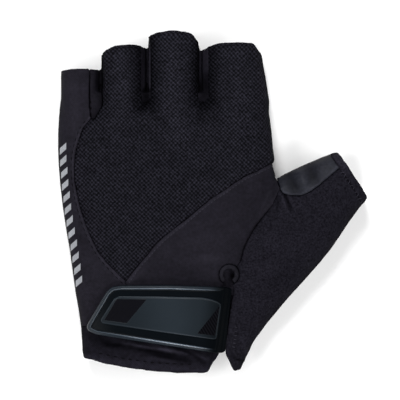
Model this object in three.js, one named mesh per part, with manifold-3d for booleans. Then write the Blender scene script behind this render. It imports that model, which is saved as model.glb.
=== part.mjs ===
// Short-finger cycling glove for the left hand, lying on its palm with its back up.
// Millimetres, +Z up. The fingers point along +Y and the thumb lies towards +X.
// The glove is one hollow form, cut into its sewn panels along the seams of the real pattern.
import * as THREE from "three";
import { LoftGeometry } from "three/addons/geometries/LoftGeometry.js";
import { mergeVertices } from "three/addons/utils/BufferGeometryUtils.js";
import Module from "manifold-3d";

const wasm = await Module();
wasm.setup();

// Driving dimensions.
const HAND_LENGTH = 126; // lowest point of the cuff to the line of the finger crotches
const HAND_WIDTH = 96; // across the four finger stalls at the crotch line
const HAND_DEPTH = 26; // thickness of the filled hand at its middle
const BACK_WALL = 1.5; // cloth of the back panels
const PALM_WALL = 2.2; // padded suede of the palm
const SEAM_GAP = 0.3; // between two panels that are sewn together
const FINGER_GAP = 0.6; // between two finger stalls
const FINGER_LENGTH = 30.4; // of the middle finger's stall, past the crotch line
const FINGER_DEPTH = 18.6; // thickness of the middle finger's stall
const PALM_SEAM_HEIGHT = 6; // height of the seam between palm and back
const THUMB_WIDTH = 24; // across the thumb opening
const THUMB_DEPTH = 19.5; // height of the thumb opening
const THUMB_HEM = 3.6; // depth of the hem at the thumb opening
const KEYHOLE_RADIUS = 2.4; // round head of the wrist slit, inside its binding
const BINDING_WIDTH = 2.4; // tape round the head of the slit
const BINDING_HEIGHT = 2.3;
const BINDING_OPENING = 70; // degrees of the tape's ring that the slit leaves open
const FINGER_LIFT = 0.06; // a finger's end above the table, as a share of its thickness
const STRAP_GAP = 0.4; // between the strap, its tab and the panels under it
const STRAP_WEB = 1; // thickness of the cloth strap
const STRAP_FLOOR = 1.2; // thickness of the moulded tab at its channel
const STRAP_SKIRT = 1.2; // edge of the tab that reaches down beside the cloth strap
const STRAP_RIM_WIDTH = 2;
const STRAP_RIM_HEIGHT = 0.9;
const STRAP_PLATE_DROP = 0.15; // from the rim to the plate, and from the plate to its inlay
const STRAP_TUCK = 8; // how far the cloth strap reaches in under the thumb panel
const STRAP_TUCK_GAP = 1.1; // between the thumb panel and the strap under it
const STRAP_TUCK_MARGIN = 2.5; // from the strap's sides to the ends of the slit's straight part

// One row for each finger stall, from the little finger. width is its share of the hand's width
// without the gaps, depth and length are shares of FINGER_DEPTH and FINGER_LENGTH. Shares of its own
// width are its width at its end and how far that end leans towards the thumb. Shares of its own
// length are how much lower its end is at its left and right than at its back. round is how much of
// the right fall is there already a tenth of the width before that side.
const FINGER_SHARES = [
  { width: 0.19, end: 1, depth: 0.833, length: 0.428, lean: 0, left: 0.069, right: 0.038, round: 0.4 },
  { width: 0.222, end: 1, depth: 0.946, length: 0.789, lean: 0, left: 0.192, right: 0.066, round: 0.5 },
  { width: 0.255, end: 1, depth: 1, length: 1, lean: 0, left: 0.086, right: 0.21, round: 0.45 },
  { width: 0.333, end: 0.854, depth: 0.99, length: 0.822, lean: -0.073, left: 0.148, right: 0.184, round: 0.12 },
];
const STALLS_WIDTH = HAND_WIDTH - FINGER_GAP * (FINGER_SHARES.length - 1);
const FINGERS = FINGER_SHARES.map((row) => {
  const width = row.width * STALLS_WIDTH;
  const length = row.length * FINGER_LENGTH;
  return {
    width,
    length,
    end: row.end * width,
    lean: row.lean * width,
    depth: row.depth * FINGER_DEPTH,
    left: row.left * length,
    right: row.right * length,
    round: row.round,
  };
});

// Outline of the hand: along is a share of HAND_LENGTH from the cuff, left and right are shares of
// HAND_WIDTH from the little finger's side, depth is a share of HAND_DEPTH.
const HAND_SECTIONS = [
  { along: -0.05, left: 0.114, right: 0.86, depth: 0.84 },
  { along: 0.08, left: 0.104, right: 0.885, depth: 0.86 },
  { along: 0.19, left: 0.093, right: 0.9, depth: 0.88 },
  { along: 0.3, left: 0.068, right: 0.915, depth: 0.92 },
  { along: 0.43, left: 0.046, right: 0.95, depth: 0.98 },
  { along: 0.56, left: 0.017, right: 1.0, depth: 1 },
  { along: 0.7, left: -0.005, right: 1.03, depth: 0.97 },
  { along: 0.81, left: -0.013, right: 1.018, depth: 0.9 },
  { along: 0.91, left: -0.011, right: 1.006, depth: 0.78 },
  { along: 0.97, left: -0.006, right: 0.992, depth: 0.68 },
  { along: 1.02, left: 0.004, right: 0.985, depth: 0.56 },
];

// Curved end of a finger stall: across is a share of its end width, left and right are the shares
// of its falls on those sides, rounded is a share of its right fall times its round.
const FINGER_RIM = [
  { across: 0, left: 1, right: 0, rounded: 0 },
  { across: 0.16, left: 0.4, right: 0, rounded: 0 },
  { across: 0.45, left: 0, right: 0, rounded: 0 },
  { across: 0.78, left: 0, right: 0, rounded: 0.3 },
  { across: 0.9, left: 0, right: 0, rounded: 1 },
  { across: 1, left: 0, right: 1, rounded: 0 },
];

// How a finger stall grows out of the hand: along is in shares of the finger's length past the
// crotch line, or of its depth before it, and girth is a share of its size there.
const FINGER_SECTIONS = [
  { along: -2.1, girth: 0.8, rise: 0.2 },
  { along: -1.3, girth: 0.92, rise: 0.19 },
  { along: -0.6, girth: 0.985, rise: 0.14 },
  { along: 0, girth: 1, rise: 0.08 },
  { along: 0.5, girth: 1, rise: 0.06 },
  { along: 1, girth: 1, rise: 0.1 },
];

// The thumb from the heel of the hand to its opening: across and along are its middle as shares of
// the hand, turn is its heading in degrees from +X, width and depth are shares of THUMB_WIDTH and
// THUMB_DEPTH, lift is a share of THUMB_DEPTH.
const THUMB_SECTIONS = [
  { across: 0.742, along: -0.02, turn: 75, width: 0.95, depth: 0.8, lift: 0 },
  { across: 0.77, along: 0.108, turn: 68, width: 1.08, depth: 0.85, lift: 0 },
  { across: 0.84, along: 0.228, turn: 55, width: 1.28, depth: 0.97, lift: 0 },
  { across: 0.96, along: 0.365, turn: 49, width: 1.45, depth: 1.1, lift: 0 },
  { across: 1.056, along: 0.477, turn: 44, width: 1.68, depth: 1.16, lift: 0.01 },
  { across: 1.146, along: 0.565, turn: 41.3, width: 1.73, depth: 1.15, lift: 0.02 },
  { across: 1.218, along: 0.616, turn: 41, width: 1.555, depth: 1.11, lift: 0.05 },
  { across: 1.313, along: 0.674, turn: 37, width: 1.28, depth: 1.05, lift: 0.09 },
  { across: 1.397, along: 0.718, turn: 33.5, width: 1.07, depth: 1, lift: 0.12 },
];

// Seams of the back in plan, across and along the hand as shares of its width and length.
const SEAMS = {
  // outer side panel against the mesh, from the little finger's crotch to the point at the wrist
  meshOuter: [
    { across: 0.177, along: 0.958 },
    { across: 0.153, along: 0.926 },
    { across: 0.11, along: 0.889 },
    { across: 0.077, along: 0.816 },
    { across: 0.067, along: 0.754 },
    { across: 0.072, along: 0.685 },
    { across: 0.091, along: 0.612 },
    { across: 0.123, along: 0.535 },
    { across: 0.149, along: 0.487 },
    { across: 0.187, along: 0.433 },
    { across: 0.249, along: 0.378 },
    { across: 0.316, along: 0.327 },
  ],
  // mesh against the wrist panel, from the point at the wrist to the thumb side
  meshInner: [
    { across: 0.316, along: 0.327 },
    { across: 0.369, along: 0.385 },
    { across: 0.417, along: 0.425 },
    { across: 0.47, along: 0.473 },
    { across: 0.551, along: 0.524 },
    { across: 0.628, along: 0.571 },
    { across: 0.714, along: 0.626 },
    { across: 0.791, along: 0.663 },
    { across: 0.867, along: 0.706 },
    { across: 0.944, along: 0.732 },
    { across: 1.016, along: 0.761 },
    { across: 1.16, along: 0.82 },
  ],
  // wrist panel against the thumb panel, from the head of the slit to the thumb's crotch
  thumbRoot: [
    { across: 0.839, along: 0.378 },
    { across: 0.862, along: 0.411 },
    { across: 0.877, along: 0.458 },
    { across: 0.92, along: 0.513 },
    { across: 0.963, along: 0.56 },
    { across: 1.006, along: 0.601 },
    { across: 1.04, along: 0.652 },
    { across: 1.057, along: 0.672 },
  ],
  // satin gusset against the thumb panel, from the thumb's crotch to its hem
  gusset: [
    { across: 1.01, along: 0.76 },
    { across: 1.035, along: 0.706 },
    { across: 1.049, along: 0.67 },
    { across: 1.069, along: 0.648 },
    { across: 1.126, along: 0.641 },
    { across: 1.164, along: 0.648 },
    { across: 1.227, along: 0.677 },
    { across: 1.289, along: 0.717 },
    { across: 1.337, along: 0.75 },
    { across: 1.39, along: 0.795 },
  ],
  // side panel and wrist panel against the elastic cuff, mostly under the strap
  cuff: [
    { across: -0.1, along: 0.15 },
    { across: 0, along: 0.153 },
    { across: 0.13, along: 0.168 },
    { across: 0.215, along: 0.168 },
    { across: 0.34, along: 0.152 },
    { across: 0.53, along: 0.13 },
    { across: 0.7, along: 0.108 },
    { across: 0.8, along: 0.092 },
  ],
};

// Edge of the cuff in plan, back and palm, in the same shares.
const CUFF_EDGE_BACK = [
  { across: -0.1, along: 0.06 },
  { across: 0.11, along: 0.053 },
  { across: 0.21, along: 0.033 },
  { across: 0.34, along: 0.016 },
  { across: 0.46, along: 0.005 },
  { across: 0.58, along: 0.0 },
  { across: 0.7, along: 0.001 },
  { across: 0.845, along: 0.005 },
  { across: 0.862, along: 0.015 },
  { across: 0.898, along: 0.06 },
  { across: 0.93, along: 0.08 },
  { across: 1.2, along: 0.1 },
];
const CUFF_EDGE_PALM = [
  { across: -0.1, along: 0.062 },
  { across: 0.11, along: 0.058 },
  { across: 0.25, along: 0.075 },
  { across: 0.5, along: 0.09 },
  { across: 0.7, along: 0.096 },
  { across: 0.79, along: 0.088 },
  { across: 0.87, along: 0.06 },
  { across: 0.93, along: 0.08 },
  { across: 1.2, along: 0.1 },
];

// The side panel and the wrist panel meet under the tab, below the point of the mesh.
const WRIST_SEAM = [SEAMS.meshInner[0], { across: SEAMS.meshInner[0].across, along: 0.14 }];

// The strips between the fingers: one row for each slit, from the finger on its left, with the
// widths that show on its left and right as shares of those fingers' widths. Shares of HAND_LENGTH
// are how far its crotch and its tip lie before the crotch line, and how long it tapers to the tip.
// foot is where the tip lies across the strip, as a share from its left.
const STRIP_TIP = 0.3; // width of a strip's tip, as a share of its own
const STRIPS = [
  { name: "fourchette_little_ring", left: 0.268, right: 0.05, crotch: 0.03, end: 0.08, taper: 0.046, foot: 0.28 },
  { name: "fourchette_ring_middle", left: 0.143, right: 0.078, crotch: 0, end: 0.022, taper: 0.03, foot: 0.5 },
  { name: "fourchette_middle_index", left: 0.05, right: 0.122, crotch: 0, end: 0.02, taper: 0.02, foot: 0.4 },
];

// Wrist slit, from its round head to its mouth at the cuff, in shares of the hand.
const SLIT_HEAD = { across: 0.805, along: 0.356 };
const SLIT_SIDES = [
  { along: 0.34, left: 0.79, right: 0.82 },
  { along: 0.3, left: 0.762, right: 0.828 },
  { along: 0.13, left: 0.738, right: 0.796 },
  { along: 0.088, left: 0.758, right: 0.787 },
  { along: 0.068, left: 0.758, right: 0.79 },
  { along: 0.0, left: 0.7, right: 0.832 },
  { along: -0.04, left: 0.67, right: 0.855 },
];

// Outlines on the moulded tab in plan, as shares of the hand, anticlockwise from the lower left.
const TAB_OUTLINE = [
  { across: 0.139, along: 0.15 },
  { across: 0.172, along: 0.139 },
  { across: 0.45, along: 0.108 },
  { across: 0.75, along: 0.071 },
  { across: 0.786, along: 0.073 },
  { across: 0.819, along: 0.305 },
  { across: 0.791, along: 0.311 },
  { across: 0.522, along: 0.318 },
  { across: 0.292, along: 0.317 },
  { across: 0.249, along: 0.312 },
  { across: 0.225, along: 0.296 },
  { across: 0.177, along: 0.235 },
  { across: 0.132, along: 0.177 },
  { across: 0.127, along: 0.162 },
];
const PLATE_OUTLINE = [
  { across: 0.204, along: 0.179 },
  { across: 0.474, along: 0.15 },
  { across: 0.745, along: 0.12 },
  { across: 0.769, along: 0.252 },
  { across: 0.728, along: 0.267 },
  { across: 0.68, along: 0.274 },
  { across: 0.474, along: 0.278 },
  { across: 0.283, along: 0.279 },
  { across: 0.259, along: 0.27 },
  { across: 0.192, along: 0.19 },
];
const INLAY_OUTLINE = [
  { across: 0.213, along: 0.192 },
  { across: 0.319, along: 0.181 },
  { across: 0.414, along: 0.267 },
  { across: 0.273, along: 0.268 },
];

// How finely the forms are drawn.
const HAND_SIDES = 34;
const HAND_ROWS = 17;
const FINGER_SIDES = 18;
const FINGER_ROWS = 6;
const THUMB_SIDES = 24;
const THUMB_ROWS = 11;
const INNER_SHARE = 0.6; // sides and rows of the hollow, as a share of the outside
const SEAM_STEPS = 16;
const RIM_STEPS = 12;
const ROUND_STEPS = 20;
const HALVINGS = 24; // steps of the search for a section
const STRAP_COLUMNS = 24;
const STRAP_ROWS = 5;
const BINDING_STEPS = 18;
const BINDING_SIDES = 8;
const MERGE = 1e-4; // vertices this near are one
const FAR = 3 * HAND_LENGTH; // beyond the glove
const END_TRIM = 2; // how far a stall is drawn past its end before it is cut to shape
const END_CLEAR = 4; // how far a hollow runs on past its opening
const SHEET_MARGIN = 1; // how far a sheet is drawn past the outlines that cut it
const SQUARENESS = 2.5; // of a cross-section, 2 is an ellipse
const BELLY = 0.42; // height of a cross-section's widest line, as a share of its depth
const SOLE_SINK = 0.07; // how much of the depth is pressed flat where the glove rests

// Plan point from its shares.
const plan = ({ across, along }) => new THREE.Vector2(across * HAND_WIDTH, along * HAND_LENGTH);

// Value of a column of a table at a share t of its rows, smooth through the rows.
function columnAt(rows, column, t) {
  const points = rows.map((row, i) => new THREE.Vector2(i, row[column]));
  const place = THREE.MathUtils.clamp(t, 0, 1) * (rows.length - 1);
  const i = Math.min(Math.floor(place), rows.length - 2);
  const at = (k) => points[THREE.MathUtils.clamp(k, 0, rows.length - 1)].y;
  const u = place - i;
  const [a, b, c, d] = [at(i - 1), at(i), at(i + 1), at(i + 2)];
  return b + 0.5 * u * (c - a + u * (2 * a - 5 * b + 4 * c - d + u * (3 * (b - c) + d - a)));
}

// One cross-section in a vertical plane: a rounded box with its sole pressed flat.
function crossSection({ middle, heading, width, depth, lift, walls, sides }) {
  const across = new THREE.Vector2(Math.sin(heading), -Math.cos(heading));
  const halfWidth = width / 2 - walls.side;
  const floor = lift + walls.sole;
  const waist = lift + depth * BELLY;
  const up = lift + depth - walls.back - waist;
  const down = waist - lift + depth * SOLE_SINK - walls.sole;
  return Array.from({ length: sides }, (_, i) => {
    const angle = (-2 * Math.PI * i) / sides;
    const reach = (value) => Math.sign(value) * Math.abs(value) ** (2 / SQUARENESS);
    const side = halfWidth * reach(Math.cos(angle));
    const rise = reach(Math.sin(angle));
    const z = Math.max(waist + rise * (rise > 0 ? up : down), floor);
    return new THREE.Vector3(middle.x + side * across.x, middle.y + side * across.y, z);
  });
}

const OUTSIDE = { side: 0, back: 0, sole: 0 };
const HOLLOW = { side: BACK_WALL, back: BACK_WALL, sole: PALM_WALL };

// A closed three.js geometry as a manifold solid.
function solid(geometry) {
  const bare = geometry.index ? geometry.toNonIndexed() : geometry.clone();
  const extras = Object.keys(bare.attributes).filter((name) => name !== "position");
  extras.forEach((name) => bare.deleteAttribute(name));
  const merged = mergeVertices(bare, MERGE);
  return new wasm.Manifold(
    new wasm.Mesh({
      numProp: 3,
      vertProperties: merged.attributes.position.array,
      triVerts: new Uint32Array(merged.index.array),
    }),
  );
}

// A manifold solid as a three.js geometry.
function geometryOf(made) {
  const mesh = made.getMesh();
  return new THREE.BufferGeometry()
    .setAttribute("position", new THREE.BufferAttribute(new Float32Array(mesh.vertProperties), 3))
    .setIndex(new THREE.BufferAttribute(new Uint32Array(mesh.triVerts), 1));
}

const union = (solids) => solids.reduce((sum, next) => sum.add(next));

// Loft through cross-sections, closed at both ends.
const loft = (sections) => solid(new LoftGeometry(sections, { capStart: true, capEnd: true }));

// Main body of the hand, from the cuff to the crotches.
function hand(walls, fineness) {
  const rows = Math.round(HAND_ROWS * fineness);
  const extra = walls === HOLLOW ? END_CLEAR : 0;
  return loft(
    Array.from({ length: rows + 1 }, (_, i) => {
      const t = i / rows;
      const left = columnAt(HAND_SECTIONS, "left", t) * HAND_WIDTH;
      const right = columnAt(HAND_SECTIONS, "right", t) * HAND_WIDTH;
      const along = columnAt(HAND_SECTIONS, "along", t) * HAND_LENGTH;
      const end = i === 0 ? -extra : i === rows ? -walls.back : 0;
      return crossSection({
        middle: new THREE.Vector2((left + right) / 2, along + end),
        heading: Math.PI / 2,
        width: right - left,
        depth: columnAt(HAND_SECTIONS, "depth", t) * HAND_DEPTH,
        lift: 0,
        walls,
        sides: Math.round(HAND_SIDES * fineness),
      });
    }),
  );
}

// Left edge of each finger at the crotch line.
const fingerLeft = (n) => FINGERS.slice(0, n).reduce((sum, finger) => sum + finger.width + FINGER_GAP, 0);

// Middle line of finger n in plan, at a height given in shares of its length past the crotch line.
function fingerMiddle(n, share) {
  const lean = FINGERS[n].lean * Math.max(share, 0);
  return fingerLeft(n) + FINGERS[n].width / 2 + lean;
}

// One finger stall, from inside the hand to past its end.
function fingerStall(n, walls, fineness) {
  const finger = FINGERS[n];
  const rows = Math.round(FINGER_ROWS * fineness) + 1;
  const beyond = walls === HOLLOW ? END_CLEAR : END_TRIM;
  const sections = Array.from({ length: rows + 1 }, (_, i) => {
    const t = i / rows;
    const share = columnAt(FINGER_SECTIONS, "along", t);
    const girth = columnAt(FINGER_SECTIONS, "girth", t);
    const past = Math.max(share, 0);
    const step = share > 0 ? share * finger.length : share * finger.depth;
    return crossSection({
      middle: new THREE.Vector2(fingerMiddle(n, share), HAND_LENGTH + step + (i === rows ? beyond : 0)),
      heading: Math.PI / 2,
      width: (finger.width + (finger.end - finger.width) * past) * girth,
      depth: finger.depth * (girth + columnAt(FINGER_SECTIONS, "rise", t) - FINGER_LIFT),
      lift: finger.depth * FINGER_LIFT * past,
      walls,
      sides: Math.round(FINGER_SIDES * fineness),
    });
  });
  return loft(sections);
}

// A row of the thumb's table as a cross-section.
function thumbSection(t, walls, sides, beyond = 0) {
  const turn = THREE.MathUtils.degToRad(columnAt(THUMB_SECTIONS, "turn", t));
  const middle = plan({
    across: columnAt(THUMB_SECTIONS, "across", t),
    along: columnAt(THUMB_SECTIONS, "along", t),
  });
  middle.add(new THREE.Vector2(Math.cos(turn), Math.sin(turn)).multiplyScalar(beyond));
  return crossSection({
    middle,
    heading: turn,
    width: columnAt(THUMB_SECTIONS, "width", t) * THUMB_WIDTH,
    depth: columnAt(THUMB_SECTIONS, "depth", t) * THUMB_DEPTH,
    lift: columnAt(THUMB_SECTIONS, "lift", t) * THUMB_DEPTH,
    walls,
    sides,
  });
}

function thumbStall(walls, fineness) {
  const rows = Math.round(THUMB_ROWS * fineness);
  const sides = Math.round(THUMB_SIDES * fineness);
  const sections = Array.from({ length: rows + 1 }, (_, i) => thumbSection(i / rows, walls, sides));
  if (walls === HOLLOW) sections.push(thumbSection(1, walls, sides, END_CLEAR));
  return loft(sections);
}

// Upright prism over a plan shape.
function prism(points, low = -1, high = FAR) {
  const shape = new THREE.Shape(points);
  const geometry = new THREE.ExtrudeGeometry(shape, { depth: high - low, bevelEnabled: false, steps: 1 });
  return solid(geometry.translate(0, 0, low));
}

// Smooth line through plan points.
const smooth = (points, steps = SEAM_STEPS) => new THREE.SplineCurve(points).getPoints(steps);
const seamLine = (name) => smooth(SEAMS[name].map(plan));

// Closed outline, anticlockwise, moved inwards by a distance.
function inset(outline, distance) {
  return outline.map((point, i) => {
    const before = point.clone().sub(outline.at(i - 1)).normalize();
    const after = outline[(i + 1) % outline.length].clone().sub(point).normalize();
    const normal = new THREE.Vector2(-before.y - after.y, before.x + after.x).normalize();
    const reach = distance / Math.max(normal.dot(new THREE.Vector2(-after.y, after.x)), 0.5);
    return point.clone().addScaledVector(normal, reach);
  });
}

// Unit normals on the left of a polyline.
function normalsOf(line) {
  return line.map((_, i) => {
    const before = line[Math.max(i - 1, 0)];
    const after = line[Math.min(i + 1, line.length - 1)];
    const way = after.clone().sub(before).normalize();
    return new THREE.Vector2(-way.y, way.x);
  });
}

// Points at a distance on the left of a polyline.
function beside(line, distance) {
  const normals = normalsOf(line);
  return line.map((point, i) => point.clone().addScaledVector(normals[i], distance));
}

// Thin upright cut along a polyline.
function ribbon(line, width, low, high) {
  return prism([...beside(line, -width / 2), ...beside(line, width / 2).reverse()], low, high);
}

// Everything between two heights.
const slabBetween = (low, high) =>
  prism([-1, 1, 1, -1].map((x, i) => new THREE.Vector2(x * FAR, (i < 2 ? -1 : 1) * FAR)), low, high);

const BACK_LOW = PALM_SEAM_HEIGHT + SEAM_GAP / 2;
const outerHull = union([
  hand(OUTSIDE, 1),
  ...FINGERS.map((_, n) => fingerStall(n, OUTSIDE, 1)),
  thumbStall(OUTSIDE, 1),
]);

// Where the slit between finger n and the next one lies in plan, and its crotch.
const slitAcross = (n) => fingerLeft(n + 1) - FINGER_GAP / 2;
const crotchAlong = (n) => HAND_LENGTH * (1 - STRIPS[n].crotch);

// Upright slab along the slit on the right of finger n, with a round foot at its crotch.
function slitSlab(n, width, foot) {
  const x = slitAcross(n);
  const y = crotchAlong(n) - foot;
  return prism([
    new THREE.Vector2(x + width / 2, FAR),
    new THREE.Vector2(x - width / 2, FAR),
    new THREE.Vector2(x - width / 2, y + width / 2),
    new THREE.Vector2(x, y),
    new THREE.Vector2(x + width / 2, y + width / 2),
  ]);
}

const hollow = union([
  hand(HOLLOW, INNER_SHARE),
  ...FINGERS.map((_, n) => fingerStall(n, HOLLOW, INNER_SHARE)),
  thumbStall(HOLLOW, INNER_SHARE),
]).subtract(union(STRIPS.map((_, n) => slitSlab(n, FINGER_GAP + 2 * BACK_WALL, BACK_WALL))));

// Everything past the curved end of finger n.
function fingerEnd(n) {
  const { left, right, end, length, round } = FINGERS[n];
  const [x, y] = [fingerMiddle(n, 1) - end / 2, HAND_LENGTH + length];
  const fall = (row) => row.left * left + row.right * right + row.rounded * right * round;
  const rim = smooth(
    FINGER_RIM.map((row) => new THREE.Vector2(x + row.across * end, y - fall(row))),
    RIM_STEPS,
  );
  const start = n === 0 ? -FAR : slitAcross(n - 1);
  const stop = n === FINGERS.length - 1 ? FAR : slitAcross(n);
  return prism([
    new THREE.Vector2(start, FAR),
    new THREE.Vector2(start, y - left),
    ...rim,
    new THREE.Vector2(stop, y - right),
    new THREE.Vector2(stop, FAR),
  ]);
}

// Everything past the edge of the cuff, with one edge for the back and one for the palm.
function cuffEnd(table, low, high) {
  const edge = smooth(table.map(plan));
  const corners = [new THREE.Vector2(edge[0].x, -FAR), new THREE.Vector2(edge.at(-1).x, -FAR)];
  return prism([...corners, ...edge.reverse()], low, high);
}

// The wrist slit in plan, from its head to its mouth at the cuff.
const slitHead = plan(SLIT_HEAD);
function slitChannel() {
  const left = SLIT_SIDES.map((row) => plan({ across: row.left, along: row.along }));
  const right = SLIT_SIDES.map((row) => plan({ across: row.right, along: row.along }));
  return prism([...left, ...right.reverse()], BACK_LOW - SEAM_GAP);
}

function slitRound(radius) {
  const arc = Array.from({ length: ROUND_STEPS }, (_, i) => {
    const angle = (2 * Math.PI * i) / ROUND_STEPS;
    return new THREE.Vector2(slitHead.x + radius * Math.cos(angle), slitHead.y + radius * Math.sin(angle));
  });
  return prism(arc, BACK_LOW - SEAM_GAP);
}

// Line square to the thumb's heading, a distance back from its opening.
function thumbLine(distance) {
  const last = THUMB_SECTIONS.at(-1);
  const turn = THREE.MathUtils.degToRad(last.turn);
  const ahead = new THREE.Vector2(Math.cos(turn), Math.sin(turn));
  const across = new THREE.Vector2(-Math.sin(turn), Math.cos(turn));
  const middle = plan(last).addScaledVector(ahead, -distance);
  return [-1, 1].map((side) => middle.clone().addScaledVector(across, side * THUMB_WIDTH));
}

// Everything past a line across the thumb.
function pastThumbLine(distance) {
  const line = thumbLine(distance);
  return prism([...line, ...beside(line, -2 * THUMB_WIDTH).reverse()]);
}

const stripOutlines = STRIPS.map((strip, n) => {
  const left = slitAcross(n) - FINGERS[n].width * strip.left;
  const right = slitAcross(n) + FINGERS[n + 1].width * strip.right;
  const tipMiddle = THREE.MathUtils.lerp(left, right, strip.foot);
  const tipHalf = ((right - left) * STRIP_TIP) / 2;
  const foot = HAND_LENGTH * (1 - strip.end);
  const shoulder = foot + HAND_LENGTH * strip.taper;
  return [
    new THREE.Vector2(left, FAR),
    new THREE.Vector2(left, HAND_LENGTH + FINGERS[n].length),
    new THREE.Vector2(left, shoulder),
    new THREE.Vector2(tipMiddle - tipHalf, foot),
    new THREE.Vector2(tipMiddle + tipHalf, foot),
    new THREE.Vector2(right, shoulder),
    new THREE.Vector2(right, HAND_LENGTH + FINGERS[n].length),
    new THREE.Vector2(right, FAR),
  ];
});

const seamCuts = union([
  ...Object.keys(SEAMS).map((name) => ribbon(seamLine(name), SEAM_GAP, 0, FAR)),
  ...stripOutlines.map((outline) => ribbon(outline, SEAM_GAP, 0, FAR)),
  ribbon(WRIST_SEAM.map(plan), SEAM_GAP, 0, FAR),
]);

const shell = outerHull
  .subtract(hollow)
  .subtract(union(STRIPS.map((_, n) => slitSlab(n, FINGER_GAP, 0))))
  .subtract(union(FINGERS.map((_, n) => fingerEnd(n))))
  .subtract(cuffEnd(CUFF_EDGE_BACK, PALM_SEAM_HEIGHT, FAR))
  .subtract(cuffEnd(CUFF_EDGE_PALM, -1, PALM_SEAM_HEIGHT))
  .subtract(slitChannel())
  .subtract(slitRound(KEYHOLE_RADIUS + BINDING_WIDTH + SEAM_GAP));

const behindHem = shell.subtract(pastThumbLine(THUMB_HEM + SEAM_GAP));
const backs = behindHem.subtract(slabBetween(-1, BACK_LOW)).subtract(seamCuts);

// The body of a cut-up solid that lies over a plan point given in shares of the hand.
function pieceAt(bodies, across, along) {
  const middle = plan({ across, along });
  const probe = prism([-1, 1, 1, -1].map((x, i) => new THREE.Vector2(x, i < 2 ? -1 : 1).add(middle)));
  const shared = (body) => body.intersect(probe).volume();
  return bodies.reduce((best, body) => (shared(body) > shared(best) ? body : best));
}

const panels = backs.decompose();
const thumbHem = shell.intersect(pastThumbLine(THUMB_HEM));
const palm = behindHem.intersect(slabBetween(-1, PALM_SEAM_HEIGHT - SEAM_GAP / 2));

// Height of the hand's back over a plan point.
function backHeight(x, y) {
  let [low, high] = [0, 1];
  for (let i = 0; i < HALVINGS; i++) {
    const t = (low + high) / 2;
    if (columnAt(HAND_SECTIONS, "along", t) * HAND_LENGTH < y) low = t;
    else high = t;
  }
  const left = columnAt(HAND_SECTIONS, "left", low) * HAND_WIDTH;
  const right = columnAt(HAND_SECTIONS, "right", low) * HAND_WIDTH;
  const depth = columnAt(HAND_SECTIONS, "depth", low) * HAND_DEPTH;
  const side = Math.min(Math.abs((2 * x - left - right) / (right - left)), 1);
  return depth * (BELLY + (1 - BELLY) * (1 - side ** SQUARENESS) ** (1 / SQUARENESS));
}

// Sheet that follows the back of the hand between two heights above it, under and round the tab.
const tabOutline = TAB_OUTLINE.map(plan);
const plateOutline = PLATE_OUTLINE.map(plan);
const inlayOutline = INLAY_OUTLINE.map(plan);
const tabBox = new THREE.Box2().setFromPoints(tabOutline);
function sheet(low, high, sink = () => 0) {
  const start = tabBox.min.clone().subScalar(SHEET_MARGIN);
  const stop = tabBox.max.clone().addScalar(SHEET_MARGIN);
  const across = (i) => THREE.MathUtils.lerp(start.x, stop.x + STRAP_TUCK, i / STRAP_COLUMNS);
  const along = (j) => THREE.MathUtils.lerp(start.y, stop.y, j / STRAP_ROWS);
  const sections = Array.from({ length: STRAP_COLUMNS + 1 }, (_, i) => {
    const point = (j, rise) => {
      const [x, y] = [across(i), along(j)];
      return new THREE.Vector3(x, y, backHeight(x, y) + rise - sink(x, y));
    };
    const rows = Array.from({ length: STRAP_ROWS + 1 }, (_, j) => j);
    return [...rows.map((j) => point(j, low)), ...rows.reverse().map((j) => point(j, high))];
  });
  return loft(sections);
}

// How far the cloth strap has sunk through the slit, from the slit's left side to its right.
function tuckSink(x, y) {
  const share = y / HAND_LENGTH;
  const i = Math.max(SLIT_SIDES.findIndex((row) => row.along < share), 1);
  const [a, b] = [SLIT_SIDES[i - 1], SLIT_SIDES[i]];
  const t = THREE.MathUtils.clamp((share - a.along) / (b.along - a.along), 0, 1);
  const left = THREE.MathUtils.lerp(a.left, b.left, t) * HAND_WIDTH;
  const right = THREE.MathUtils.lerp(a.right, b.right, t) * HAND_WIDTH;
  return THREE.MathUtils.smoothstep(x, left, right) * (STRAP_GAP + BACK_WALL + STRAP_TUCK_GAP + STRAP_WEB);
}

// Levels of the strap above the back.
const webTop = STRAP_GAP + STRAP_WEB;
const floorLow = webTop + STRAP_GAP;
const floorTop = floorLow + STRAP_FLOOR;
const rimTop = floorTop + STRAP_RIM_HEIGHT;
const plateTop = rimTop - STRAP_PLATE_DROP;

const slitMiddle = SLIT_SIDES.map(({ along, left, right }) => plan({ across: (left + right) / 2, along }));
const tuckOutline = [slitMiddle[1], slitMiddle[2]].flatMap((point, i) => {
  const y = point.y + (i ? 1 : -1) * STRAP_TUCK_MARGIN;
  const ends = [new THREE.Vector2(point.x - STRAP_TUCK, y), new THREE.Vector2(point.x + STRAP_TUCK, y)];
  return i ? ends : ends.reverse();
});
const skirtEnd = slitMiddle.map((point) => new THREE.Vector2(point.x - STRAP_TUCK + SHEET_MARGIN, point.y));
const pastSkirt = prism([
  ...skirtEnd,
  new THREE.Vector2(FAR, skirtEnd.at(-1).y),
  new THREE.Vector2(FAR, skirtEnd[0].y),
]);
const webOutline = prism(inset(tabOutline, STRAP_SKIRT + STRAP_GAP)).subtract(pastSkirt);
const strapWeb = sheet(STRAP_GAP, webTop, tuckSink).intersect(union([webOutline, prism(tuckOutline)]));
const strapTab = union([
  sheet(floorLow, floorTop).intersect(prism(tabOutline)),
  sheet(STRAP_GAP, floorTop)
    .intersect(prism(tabOutline).subtract(prism(inset(tabOutline, STRAP_SKIRT))))
    .subtract(pastSkirt),
  sheet(floorLow, rimTop).intersect(prism(tabOutline).subtract(prism(inset(tabOutline, STRAP_RIM_WIDTH)))),
]);
const strapPlate = sheet(floorTop + STRAP_GAP, plateTop)
  .intersect(prism(plateOutline))
  .subtract(prism(inset(inlayOutline, -STRAP_GAP)));
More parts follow.
